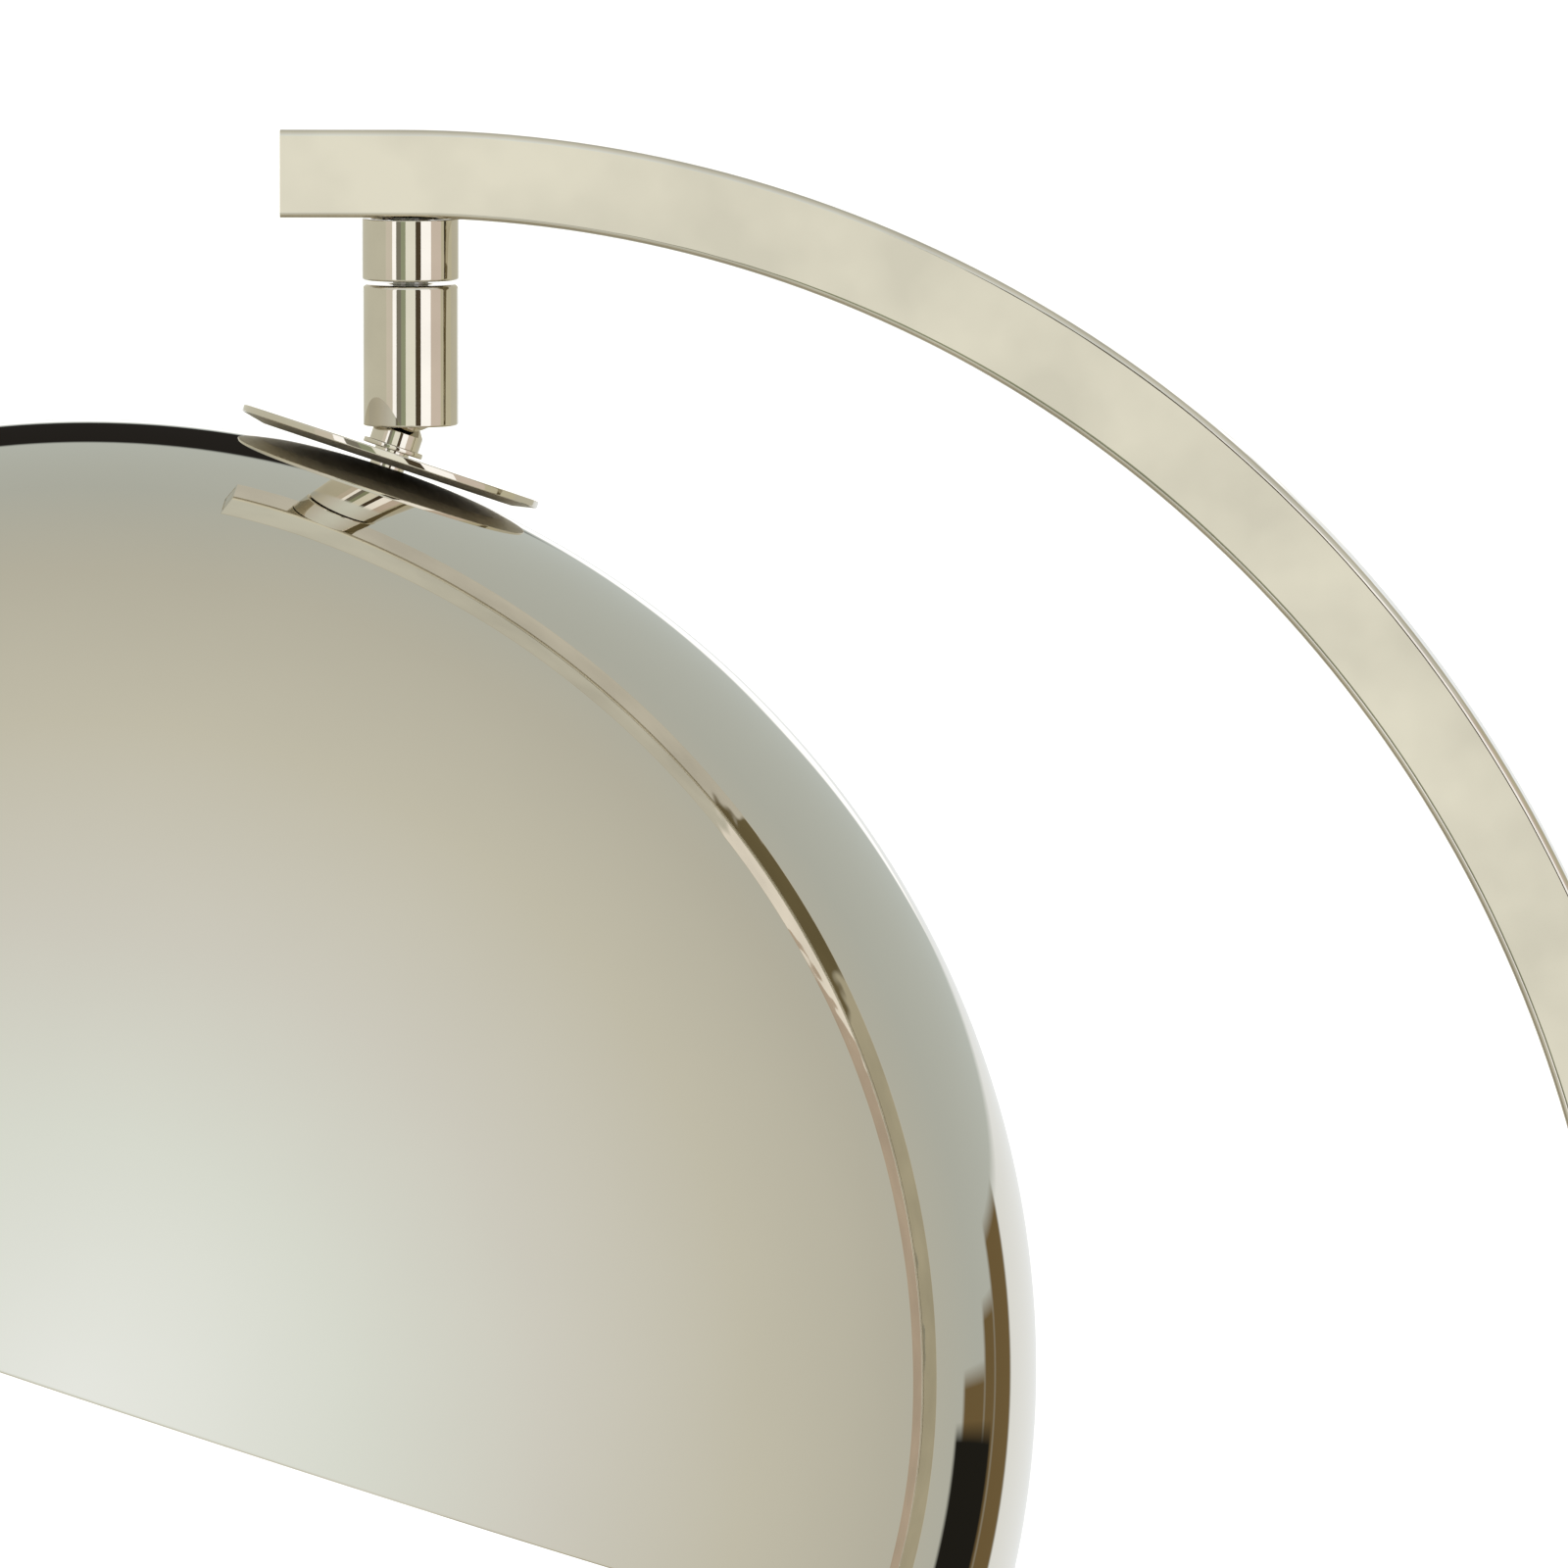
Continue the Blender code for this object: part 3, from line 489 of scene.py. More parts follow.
def done(obj, place, body, material, node):
    """Places a mesh, evens its normals, gives it its finish and its body, and hides the node it stands for.
    """
    mesh = obj.data
    mesh.transform(place)
    mesh.shade_smooth()
    mesh.set_sharp_from_angle(angle=SMOOTH_ANGLE)
    if not mesh.materials:
        mesh.materials.append(finish(material))
    weights = obj.modifiers.new("even_normals", "WEIGHTED_NORMAL")
    weights.keep_sharp = True
    weights.weight = 100
    settle(obj)
    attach(obj, body)
    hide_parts(node)


# ---------- geometry nodes


def new_tree(name, sizes):
    """A geometry node tree with these named inputs. Returns it with its group input."""
    tree = bpy.data.node_groups.new(name, "GeometryNodeTree")
    tree.interface.new_socket("Geometry", in_out="INPUT", socket_type="NodeSocketGeometry")
    for size, kind in sizes.items():
        tree.interface.new_socket(size, in_out="INPUT", socket_type=kind)
    tree.interface.new_socket("Material", in_out="INPUT", socket_type="NodeSocketMaterial")
    tree.interface.new_socket("Geometry", in_out="OUTPUT", socket_type="NodeSocketGeometry")
    return tree, add(tree, "NodeGroupInput").outputs


def end_tree(tree, geometry, given):
    """Closes a tree with Realize Instances and Set Material."""
    real = add(tree, "GeometryNodeRealizeInstances", {"Geometry": geometry})
    inputs = {"Geometry": real.outputs[0], "Material": given["Material"]}
    painted = add(tree, "GeometryNodeSetMaterial", inputs)
    add(tree, "NodeGroupOutput", {"Geometry": painted.outputs[0]})
    return tree


def joined(tree, parts):
    """Joins geometry sockets, in their order."""
    node = add(tree, "GeometryNodeJoinGeometry")
    for part in parts:
        tree.links.new(part, node.inputs[0])
    return node.outputs[0]


def grown(obj, tree, material, **values):
    """Runs a tree on the object with these inputs, and keeps the result as its mesh."""
    modifier = obj.modifiers.new(tree.name, "NODES")
    modifier.node_group = tree
    values["Material"] = finish(material)
    for socket in tree.interface.items_tree:
        if socket.in_out == "INPUT" and socket.name in values:
            modifier[socket.identifier] = values[socket.name]
    settle(obj)


FLOAT = "NodeSocketFloat"
INT = "NodeSocketInt"
VECTOR = "NodeSocketVector"
WELD = 0.02 * MM
FLUTE_WIDTH_POWER = 1.6  # above 1 narrows the flutes
RIDGE_PER_PITCH = 0.55  # size of the thread's ridge


def tube_tree():
    """Square tube along a path: outer and inner skins, and a flat rim at each end."""
    sizes = {"Side": FLOAT, "Wall": FLOAT, "Corner": FLOAT, "Inner Corner": FLOAT}
    sizes |= {"Start": VECTOR, "Start Turn": VECTOR, "End": VECTOR, "End Turn": VECTOR}
    tree, given = new_tree("Square Tube Along A Path", sizes)
    inside = maths(tree, "SUBTRACT", given["Side"], maths(tree, "MULTIPLY", given["Wall"], 2.0))
    path = add(tree, "GeometryNodeMeshToCurve", {"Mesh": given["Geometry"]}).outputs[0]
    sections = []
    for side, corner in ((given["Side"], given["Corner"]), (inside, given["Inner Corner"])):
        square = add(tree, "GeometryNodeCurvePrimitiveQuadrilateral", {"Width": side, "Height": side})
        inputs = {"Curve": square.outputs[0], "Radius": corner, "Count": 2 * CORNER_STEPS}
        sections.append(add(tree, "GeometryNodeFilletCurve", inputs, mode="POLY").outputs[0])
    skins = []
    for section in sections:
        inputs = {"Curve": path, "Profile Curve": section}
        skins.append(add(tree, "GeometryNodeCurveToMesh", inputs).outputs[0])
    inner = add(tree, "GeometryNodeFlipFaces", {"Mesh": skins[1]}).outputs[0]
    rim = add(tree, "GeometryNodeFillCurve", {"Curve": joined(tree, sections)}).outputs[0]
    parts = [skins[0], inner]
    for end in ("Start", "End"):
        inputs = {"Geometry": rim, "Translation": given[end], "Rotation": given[end + " Turn"]}
        parts.append(add(tree, "GeometryNodeTransform", inputs).outputs[0])
    inputs = {"Geometry": joined(tree, parts), "Distance": WELD}
    welded = add(tree, "GeometryNodeMergeByDistance", inputs).outputs[0]
    return end_tree(tree, welded, given)


def wound(tree, given, turns, radius, height, thickness, steps):
    """A bar wound round Z from the Base input. Steps are those of a turn, and round the bar."""
    inputs = {"Resolution": steps[0], "Rotations": turns, "Height": height}
    inputs |= {"Start Radius": radius, "End Radius": radius}
    path = add(tree, "GeometryNodeCurveSpiral", inputs).outputs[0]
    inputs = {"Resolution": steps[1], "Radius": thickness}
    section = add(tree, "GeometryNodeCurvePrimitiveCircle", inputs).outputs[0]
    inputs = {"Curve": path, "Profile Curve": section, "Fill Caps": True}
    bar = add(tree, "GeometryNodeCurveToMesh", inputs).outputs[0]
    inputs = {"Geometry": bar, "Translation": given["Base"]}
    return add(tree, "GeometryNodeTransform", inputs).outputs[0]


def coil_tree():
    """Round wire wound into an even coil round Z."""
    sizes = {"Turns": FLOAT, "Radius": FLOAT, "Height": FLOAT, "Wire Radius": FLOAT, "Base": VECTOR}
    tree, given = new_tree("Wound Wire", sizes)
    height, wire = given["Height"], given["Wire Radius"]
    placed = wound(tree, given, given["Turns"], given["Radius"], height, wire, (48, 16))
    return end_tree(tree, placed, given)


def flute_tree():
    """Presses evenly spaced finger flutes into the rim of a knob turned round Z."""
    sizes = {"Flutes": INT, "Depth": FLOAT, "Inner Radius": FLOAT, "Outer Radius": FLOAT}
    tree, given = new_tree("Fluted Rim", sizes)
    place = add(tree, "ShaderNodeSeparateXYZ", {0: add(tree, "GeometryNodeInputPosition").outputs[0]})
    x, y = place.outputs[0], place.outputs[1]
    wave = maths(tree, "MULTIPLY", maths(tree, "ARCTAN2", y, x), given["Flutes"])
    wave = maths(tree, "MAXIMUM", maths(tree, "COSINE", wave))
    wave = maths(tree, "POWER", wave, FLUTE_WIDTH_POWER)
    flat = add(tree, "ShaderNodeCombineXYZ", {0: x, 1: y, 2: 0.0}).outputs[0]
    reach = add(tree, "ShaderNodeVectorMath", {0: flat}, operation="LENGTH").outputs["Value"]
    inputs = {"Value": reach, "From Min": given["Inner Radius"], "From Max": given["Outer Radius"]}
    rim = add(tree, "ShaderNodeMapRange", inputs, interpolation_type="SMOOTHSTEP").outputs[0]
    press = maths(tree, "MULTIPLY", maths(tree, "MULTIPLY", wave, rim), given["Depth"])
    press = maths(tree, "MULTIPLY", press, -1.0)
    out = add(tree, "ShaderNodeVectorMath", {0: flat}, operation="NORMALIZE").outputs[0]
    inputs = {0: out, "Scale": press}
    shift = add(tree, "ShaderNodeVectorMath", inputs, operation="SCALE").outputs[0]
    inputs = {"Geometry": given["Geometry"], "Offset": shift}
    pressed = add(tree, "GeometryNodeSetPosition", inputs).outputs[0]
    return end_tree(tree, pressed, given)


def thread_tree():
    """Screw thread round Z: a ridge wound on a plain core."""
    sizes = {"Radius": FLOAT, "Pitch": FLOAT, "Length": FLOAT, "Base": VECTOR}
    tree, given = new_tree("Screw Thread", sizes)
    turns = maths(tree, "DIVIDE", given["Length"], given["Pitch"])
    ridge = maths(tree, "MULTIPLY", given["Pitch"], RIDGE_PER_PITCH)
    root = maths(tree, "SUBTRACT", given["Radius"], ridge)
    placed = wound(tree, given, turns, root, given["Length"], ridge, (24, 4))
    return end_tree(tree, joined(tree, (given["Geometry"], placed)), given)


# ---------- places


def ball_centre():
    return Vector(JOINTS["head_tilt"]["pos_m"])


def barrel_place():
    """The barrel's frame: its origin at the ball's centre, its X axis in the head's tilt plane."""
    hinge = Vector(JOINTS["head_tilt"]["axis"])
    return Matrix.Translation(ball_centre()) @ Matrix.Rotation(math.atan2(-hinge.x, hinge.y), 4, "Z")


def head_place(head):
    return barrel_place() @ Matrix.Rotation(head.tilt, 4, "Y")


def leg_x():
    low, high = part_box("post_tube")
    return (low.x + high.x) / 2


def arm_path(arm):
    """Points along the tube's centre line, and the height and reach of its end."""
    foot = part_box("arm_tube")[0].z
    x = leg_x()
    lower_sweep = math.pi / 2 - arm.upper_sweep
    points = [(x, foot), (x, arm.shoulder - 2 * MM)]
    centre = (x - arm.lower_radius, arm.shoulder)
    points += arc(arm.lower_radius, 0, lower_sweep, round(lower_sweep / ARC_STEP), centre)
    step_in = arm.lower_radius - arm.upper_radius
    centre = (
        centre[0] + step_in * math.cos(lower_sweep),
        centre[1] + step_in * math.sin(lower_sweep),
    )
    steps = round(arm.upper_sweep / ARC_STEP)
    points += arc(arm.upper_radius, lower_sweep, math.pi / 2, steps, centre)[1:]
    last = points[-1]
    end = (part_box("arm_tube")[0].x, last[1])
    points += [(last[0] - 2 * MM, last[1]), end]
    return points, end


# ---------- operators


class Step(bpy.types.Operator):
    """What the operators share"""

    bl_options = {"REGISTER", "UNDO"}


class MIRROR_OT_finishes(Step):
    """Makes every finish, and gives the hidden pieces theirs"""

    bl_idname = "shaving_mirror.finishes"
    bl_label = "Finishes"

    def execute(self, context):
        tones = context.scene.mirror_finishes
        for nickel in (buffed_nickel, turned_nickel, satin_nickel, drawn_nickel):
            nickel(tones.nickel)
        zinc_steel(tones.steel)
        cast_iron(tones.iron)
        turned_brass(tones.brass)
        moulded_nylon(tones.nylon)
        moulded_rubber(tones.rubber)
        closed_foam(tones.foam)
        silvered_glass(tones.silver)
        backing_paint(tones.steel)
        studio_floor(tones.floor)
        kept = {
            "rough_cast_iron": ("base_weight",),
            "moulded_nylon": ("guide_bush", "leg_slider", "friction_washer", "ball_cup"),
            "bright_zinc_steel": (
                "post_foot_block", "post_bolt", "post_washer", "clamp_screw", "swivel_pin",
                "pin_nut", "lock_washer", "backing_plate", "snap_ring", "ball_spring",
            ),
            "turned_brass": ("clamp_tip", "head_nut"),
            "closed_cell_foam": ("foam_ring",),
        }
        for material, nodes in kept.items():
            for node in nodes:
                mesh = frame["nodes"][node].data
                mesh.materials.clear()
                mesh.materials.append(finish(material))
        return {"FINISHED"}


class MIRROR_OT_arm(Step):
    """Makes the bent square tube and the plug in its end"""

    bl_idname = "shaving_mirror.arm"
    bl_label = "Arm"

    def execute(self, context):
        arm = context.scene.mirror_arm
        points, end = arm_path(arm)
        mesh = bpy.data.meshes.new("arm_path")
        edges = [(i, i + 1) for i in range(len(points) - 1)]
        mesh.from_pydata([(x, 0, z) for x, z in points], edges, [])
        tube = new_object("bent_square_tube", mesh)
        values = {
            "Side": arm.side,
            "Wall": arm.wall,
            "Corner": arm.corner,
            "Inner Corner": 0.4 * MM,
            "Start": (points[0][0], 0, points[0][1]),
            "Start Turn": (math.pi, 0, 0),
            "End": (end[0], 0, end[1]),
            "End Turn": (0, -math.pi / 2, 0),
        }
        grown(tube, tube_tree(), "nickel_plated_tube", **values)
        done(tube, Matrix(), "arm", "nickel_plated_tube", "arm_tube")

        low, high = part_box("arm_end_plug")
        half = (high.y - low.y) / 2
        deep = high.x - low.x
        edge = 0.5 * MM
        outline = eased([(0, deep, 0), (half, deep, edge), (half, 0, 0), (0, 0, 0)], False)
        outline = [(max(half, 0.5 * MM), z) for half, z in outline][::-1]
        plug = make_object("tube_end_plug", square_turned(outline, 0.6 * MM, False))
        place = Matrix.Translation((high.x, 0, (low.z + high.z) / 2))
        place = place @ Matrix.Rotation(-math.pi / 2, 4, "Y")
        done(plug, place, "arm", "turned_nickel", "arm_end_plug")
        return {"FINISHED"}


class MIRROR_OT_swivel(Step):
    """Makes the collar, the barrel and the spring inside it"""

    bl_idname = "shaving_mirror.swivel"
    bl_label = "Swivel"

    def execute(self, context):
        arm = context.scene.mirror_arm
        bore = 2.3 * MM
        low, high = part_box("swivel_collar")
        centre = (low + high) / 2
        r = arm.collar_radius
        rim = high.z + COLLAR_LIFT
        outline = [(r, rim, 0.1 * MM), (r, low.z, 0.3 * MM), (bore, low.z, 0), (bore, high.z, 0)]
        outline += [(r - 1 * MM, high.z, 0), (r - 1 * MM, rim, 0.1 * MM)]
        collar = make_object("swivel_seat_collar", turned(eased(outline), ROUND))
        place = Matrix.Translation((centre.x, centre.y, 0))
        done(collar, place, "arm", "turned_nickel", "swivel_collar")

        ball = ball_centre()
        low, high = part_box("swivel_barrel")
        top, foot = high.z - ball.z, low.z - ball.z
        r = arm.barrel_radius
        seat_r = arm.ball_radius + GAP
        wall_low = top - 2.2 * MM
        outline = [(r, top, 0.5 * MM), (r, foot, 0.25 * MM)]
        outline += [(arm.barrel_bore + 0.1 * MM, foot, 0.1 * MM)]
        outline += [(arm.ball_radius - 0.25 * MM, -2.5 * MM, 0.1 * MM)]
        start, end = (-math.asin(depth * MM / seat_r) for depth in (2.2, 1.2))
        outline += [(x, z, 0) for x, z in arc(seat_r, start, end, 6)]
        outline += [(arm.barrel_bore, -0.8 * MM, 0), (arm.barrel_bore, wall_low, 0)]
        outline += [(bore, wall_low, 0), (bore, top, 0.2 * MM)]
        barrel = make_object("turned_barrel", turned(eased(outline), ROUND))
        done(barrel, barrel_place(), "barrel", "turned_nickel", "swivel_barrel")

        low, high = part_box("ball_spring")
        wire = 0.3 * MM
        spring = new_object("wound_spring", bpy.data.meshes.new("wound_spring"))
        values = {
            "Turns": 2.0,
            "Radius": (high.x - low.x) / 2 - wire,
            "Height": high.z - low.z - 2 * wire,
            "Wire Radius": wire,
            "Base": (ball.x, ball.y, low.z + wire),
        }
        grown(spring, coil_tree(), "bright_zinc_steel", **values)
        done(spring, Matrix(), "barrel", "bright_zinc_steel", "ball_spring")
        return {"FINISHED"}


class MIRROR_OT_ball_joint(Step):
    """Makes the ball stem and the cap disc on the shell's pole"""

    bl_idname = "shaving_mirror.ball_joint"
    bl_label = "Ball joint"

    def execute(self, context):
        arm, head = context.scene.mirror_arm, context.scene.mirror_head
        place = head_place(head)
        r = arm.ball_radius
        neck_r, stem_r, flange_r, spigot_r = 2.3 * MM, 2.9 * MM, 3.5 * MM, 2 * MM
        neck = math.asin(neck_r / r) - math.pi / 2
        cap_top = -(r + 2.7 * MM)
        flange_low = cap_top + GAP
        flange_high = flange_low + 0.6 * MM
        tip = -16.15 * MM
        outline = [(x, z, 0) for x, z in arc(r, math.pi / 2, neck, 40)[1:]]
        outline += [(stem_r, -r - 0.2 * MM, 0.1 * MM), (stem_r, flange_high, 0)]
        outline += [(flange_r, flange_high, 0.15 * MM), (flange_r, flange_low, 0.15 * MM)]
        outline += [(spigot_r, flange_low, 0), (spigot_r, tip, 0.3 * MM), (0, tip, 0)]
        stem = make_object("ball_and_stem", turned(eased([(0, r, 0), *outline], False), ROUND_SMALL))
        done(stem, place, "head", "turned_nickel", "ball_stem")

        bore = spigot_r + GAP
        low = cap_top - head.cap_thickness
        edge = 0.15 * MM
        outline = [(head.cap_radius, cap_top, edge)]
        outline += [(head.cap_radius, cap_top - head.cap_rim, edge)]
        outline += [(head.cap_radius - head.cap_bevel, low, edge), (bore, low, 0)]
        outline += [(bore, cap_top, 0)]
        cap = make_object("turned_cap_disc", turned(eased(outline), ROUND_LARGE))
        two_faced(cap, "turned_nickel", "satin_nickel", -1)
        done(cap, place, "head", "turned_nickel", "cap_disc")
        return {"FINISHED"}


class MIRROR_OT_shell(Step):
    """Makes the spun half-ball shell"""

    bl_idname = "shaving_mirror.shell"
    bl_label = "Half-ball shell"

    def execute(self, context):
        head = context.scene.mirror_head
        outer, inner = head.shell_radius, head.shell_radius - head.shell_wall
        bore = 2.3 * MM
        mouth = shell_mouth(context)
        centre = (0, mouth)
        steps = 90
        lip = 0.3 * MM
        outside = arc(outer, math.acos(bore / outer), lip / outer, steps, centre)
        inside = arc(inner, lip / inner, math.acos(bore / inner), steps, centre)
        outline = [(x, z, 0) for x, z in outside] + [(outer, mouth, lip), (inner, mouth, lip)]
        outline += [(x, z, 0) for x, z in inside]
        shell = make_object("spun_half_ball", turned(eased(outline), ROUND_LARGE))
        place = head_place(head)
        done(shell, place, "head", "buffed_nickel", "dome_shell")
        return {"FINISHED"}


def shell_mouth(context):
    """Height of the shell's mouth plane in the head's frame."""
    arm, head = context.scene.mirror_arm, context.scene.mirror_head
    pole = -(arm.ball_radius + 2.7 * MM + head.cap_thickness + GAP)
    return pole - head.shell_radius


class MIRROR_OT_glass(Step):
    """Makes the mirror glass and the ring that holds it in the shell's mouth"""

    bl_idname = "shaving_mirror.glass"
    bl_label = "Mirror glass"

    def execute(self, context):
        head = context.scene.mirror_head
        place = head_place(head)
        low = shell_mouth(context) + 0.6 * MM
        outer = head.shell_radius - head.shell_wall - 1 * MM
        wall_r, lip_r = outer - 1.8 * MM, outer - 4.7 * MM
        high, lip_top = low + 8.4 * MM, low + 1.1 * MM
        outline = [(outer, high, 0.2 * MM), (outer, low, 0.4 * MM), (lip_r, low, 0.5 * MM)]
        outline += [(lip_r, lip_top, 0.2 * MM), (wall_r, lip_top, 0), (wall_r, high, 0.2 * MM)]
        ring = make_object("spun_retainer_ring", turned(eased(outline), ROUND_LARGE))
        done(ring, place, "head", "buffed_nickel", "retainer_ring")

        r = wall_r - 0.4 * MM
        low = lip_top + GAP
        high = low + head.glass_thickness
        bevel = head.glass_bevel
        outline = [(0, high, 0), (r, high, 0.15 * MM), (r, low + bevel, 0.1 * MM)]
        outline += [(r - bevel, low, 0.1 * MM), (0, low, 0)]
        glass = make_object("silvered_mirror", turned(eased(outline, False), ROUND_LARGE, False))
        two_faced(glass, "silvered_mirror_glass", "mirror_backing_paint", 1)
        done(glass, place, "head", "silvered_mirror_glass", "mirror_glass")
        return {"FINISHED"}


class MIRROR_OT_base(Step):
    """Makes the base cover, the foot pad and the flange round the post's foot"""

    bl_idname = "shaving_mirror.base"
    bl_label = "Base"

    def execute(self, context):
        base = context.scene.mirror_base
        low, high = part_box("base_cover")
        r, wall, edge = high.x, base.cover_wall, base.edge
        inner = r - wall
        outline = [(0, high.z, 0), (r, high.z, edge), (r, low.z, 0.3 * MM)]
        outline += [(inner, low.z, 0.3 * MM), (inner, high.z - wall, edge - wall)]
        outline += [(0, high.z - wall, 0)]
        cover = make_object("spun_base_cover", turned(eased(outline, False), ROUND_LARGE, False))
        hole = base.post_side / 2 + GAP
        outline = [(hole, high.z - 3 * wall), (hole, high.z + wall)]
        post = Matrix.Translation((leg_x(), 0, 0))
        cut(cover, square_turned(outline, base.post_corner + GAP, False), post)
        done(cover, Matrix(), "base", "buffed_nickel", "base_cover")

        low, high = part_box("foot_pad")
        r, thick = high.x, high.z
        groove = 0.5 * MM
        outline = [(0, thick, 0), (r, thick, 0.3 * MM), (r, 0, 0.3 * MM)]
        for i in range(base.pad_grooves):
            middle = r - (i + 1) * 12 * MM
            for across, up in ((1.6, 0), (1.0, groove), (-1.0, groove), (-1.6, 0)):
                outline.append((middle + across * MM, up, 0))
        pad = turned(eased([*outline, (0, 0, 0)], False), ROUND_LARGE, False)
        pad = make_object("ribbed_foot_pad", pad)
        done(pad, Matrix(), "base", "moulded_rubber", "foot_pad")

        low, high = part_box("post_flange")
        half = (high.x - low.x) / 2
        outline = [(half, low.z, 0), (half, high.z, 0.8 * MM), (hole, high.z, 0.2 * MM), (hole, low.z, 0)]
        flange = make_object("post_foot_flange", square_turned(eased(outline), base.post_corner + 6 * MM))
        done(flange, post, "base", "turned_nickel", "post_flange")
        return {"FINISHED"}


class MIRROR_OT_post(Step):
    """Makes the square post and the collar at its top"""

    bl_idname = "shaving_mirror.post"
    bl_label = "Post"

    def execute(self, context):
        base, arm = context.scene.mirror_base, context.scene.mirror_arm
        place = Matrix.Translation((leg_x(), 0, 0))
        screw = Matrix.Translation(Vector(JOINTS["knob_turn"]["pos_m"])) @ ALONG_X
        low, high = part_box("post_tube")
        half = base.post_side / 2
        inside = half - base.post_wall
        soft = 0.2 * MM
        outline = [(half, low.z, soft), (half, high.z, soft), (inside, high.z, soft)]
        outline += [(inside, low.z, soft)]
        tube = make_object("square_post", square_turned(eased(outline), base.post_corner))
        tube.data.transform(place)
        bored(tube, SCREW_HOLE, inside - 1 * MM, half + 1 * MM, screw)
        done(tube, Matrix(), "base", "nickel_plated_tube", "post_tube")

        low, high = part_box("clamp_collar")
        post_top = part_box("post_tube")[1].z + GAP
        half = (high.x - low.x) / 2
        seat = base.post_side / 2 + GAP
        way = arm.side / 2 + GAP
        outline = [(half, low.z, 0.5 * MM), (half, high.z, 1 * MM), (way, high.z, 0.2 * MM)]
        outline += [(way, post_top, 0), (seat, post_top, 0), (seat, low.z, soft)]
        collar = make_object("post_top_collar", square_turned(eased(outline), base.post_corner + 1 * MM))
        collar.data.transform(place)
        bored(collar, SCREW_HOLE, seat - 1 * MM, half + 1 * MM, screw)
        done(collar, Matrix(), "base", "turned_nickel", "clamp_collar")
        return {"FINISHED"}


class MIRROR_OT_clamp(Step):
    """Makes the fluted clamp knob and the threaded clamp screw"""

    bl_idname = "shaving_mirror.clamp"
    bl_label = "Clamp"

    def execute(self, context):
        base = context.scene.mirror_base
        centre = Vector(JOINTS["knob_turn"]["pos_m"])
        place = Matrix.Translation(centre) @ ALONG_X
        low, high = (corner.x - centre.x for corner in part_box("clamp_knob"))
        face = low + 3 * MM
        r, neck, bore = base.knob_radius, 4 * MM, 2.3 * MM
        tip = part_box("clamp_screw")[1].x - centre.x + GAP
        dish = 0.6 * MM
        outline = [(0, high - dish, 0), (r - 3.2 * MM, high - dish, 1 * MM)]
        outline += [(r - 2.2 * MM, high, 0.6 * MM), (r, high, 1 * MM), (r, face, 1 * MM)]
        outline += [(neck, face, 0.3 * MM), (neck, low, 0.3 * MM), (bore, low, 0)]
        outline += [(bore, tip, 0), (0, tip, 0)]
        segments = 16 * base.knob_flutes
        knob = make_object("fluted_knob", turned(eased(outline, False), segments, False))
        values = {
            "Flutes": base.knob_flutes,
            "Depth": base.flute_depth,
            "Inner Radius": r - 2.6 * MM,
            "Outer Radius": r,
        }
        grown(knob, flute_tree(), "turned_nickel", **values)
        done(knob, place, "clamp_knob", "turned_nickel", "clamp_knob")

        start, end = (corner.x - centre.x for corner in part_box("clamp_screw"))
        radius, pitch = 2 * MM, 0.7 * MM
        core = radius - 0.5 * pitch
        outline = [(0, end, 0), (core, end, 0.2 * MM), (core, start, 0.2 * MM), (0, start, 0)]
        screw = make_object("threaded_screw", turned(eased(outline, False), ROUND_SMALL, False))
        values = {
            "Radius": radius,
            "Pitch": pitch,
            "Length": end - start - 2 * pitch,
            "Base": (0, 0, start + pitch),
        }
        grown(screw, thread_tree(), "bright_zinc_steel", **values)
        done(screw, place, "clamp_screw", "bright_zinc_steel", "clamp_screw")
        return {"FINISHED"}


# ---------- stage

VIEW_TURN = math.radians(1.5)
VIEW_RISE = math.radians(4.3)
VIEW_DISTANCE = 3.0
VIEW_WIDTH = 177.8 * MM  # of the picture, at the point aimed at
AIM = Vector((-39.3, 0, 325.9)) * MM
FLOOR_RADIUS = 15.0

# Light of the room against the angle from straight in front of the object, in degrees
ROOM_TONES = (
    (0, (1.08, 1.16, 1.24)),
    (34, (0.93, 1.01, 1.02)),
    (60, (0.83, 0.85, 0.84)),
    (90, (0.72, 0.72, 0.65)),
    (118, (0.61, 0.61, 0.55)),
    (140, (0.53, 0.56, 0.53)),
    (180, (0.54, 0.58, 0.55)),
)
# Panels and gaps of the studio in front of the object, from the angle to the left of its axis
# at which each starts. They reach the turned pieces, and the perfect mirrors see a plain room.
FRONT_PANELS = (
    (-180, (0.66, 0.65, 0.55)),
    (-60, (0.75, 0.70, 0.62)),
    (-43, (1.35, 1.36, 1.42)),
    (-33, (0.25, 0.24, 0.20)),
    (-22, (0.35, 0.39, 0.27)),
    (-10, (1.0, 1.01, 0.93)),
    (14, (0.085, 0.065, 0.04)),
    (26, (1.35, 1.36, 1.42)),
    (51, (0.76, 0.67, 0.61)),
    (80, (0.63, 0.60, 0.46)),
    (116, (0.60, 0.58, 0.48)),
)
FRONT_REACH = (-35, 30)
DARK_FLOOR = (0.22, 0.19, 0.11)
# Panels behind and beside the object: turn from straight behind, to the right, and rise
BACK_PANELS = (
    ((-26, 26), (-90, 0.5), (0.86, 0.88, 0.88)),
    ((-9, 9), (0.5, 5.5), (1.2, 1.2, 1.2)),
)
# The dark gaps between them, which only the perfect mirrors are sharp enough to show
DARK_GAPS = (
    ((-16, 4), (7, 22), (0.02, 0.018, 0.016)),
    ((26, 33), (-60, 0.5), (0.18, 0.125, 0.055)),
    ((33, 37), (-60, -2), (0.18, 0.125, 0.055)),
    ((37, 44), (-60, -4.5), (0.18, 0.125, 0.055)),
    ((34, 46), (-60, -7), (0.016, 0.015, 0.012)),
)
SOFT_EDGE = math.radians(0.5)


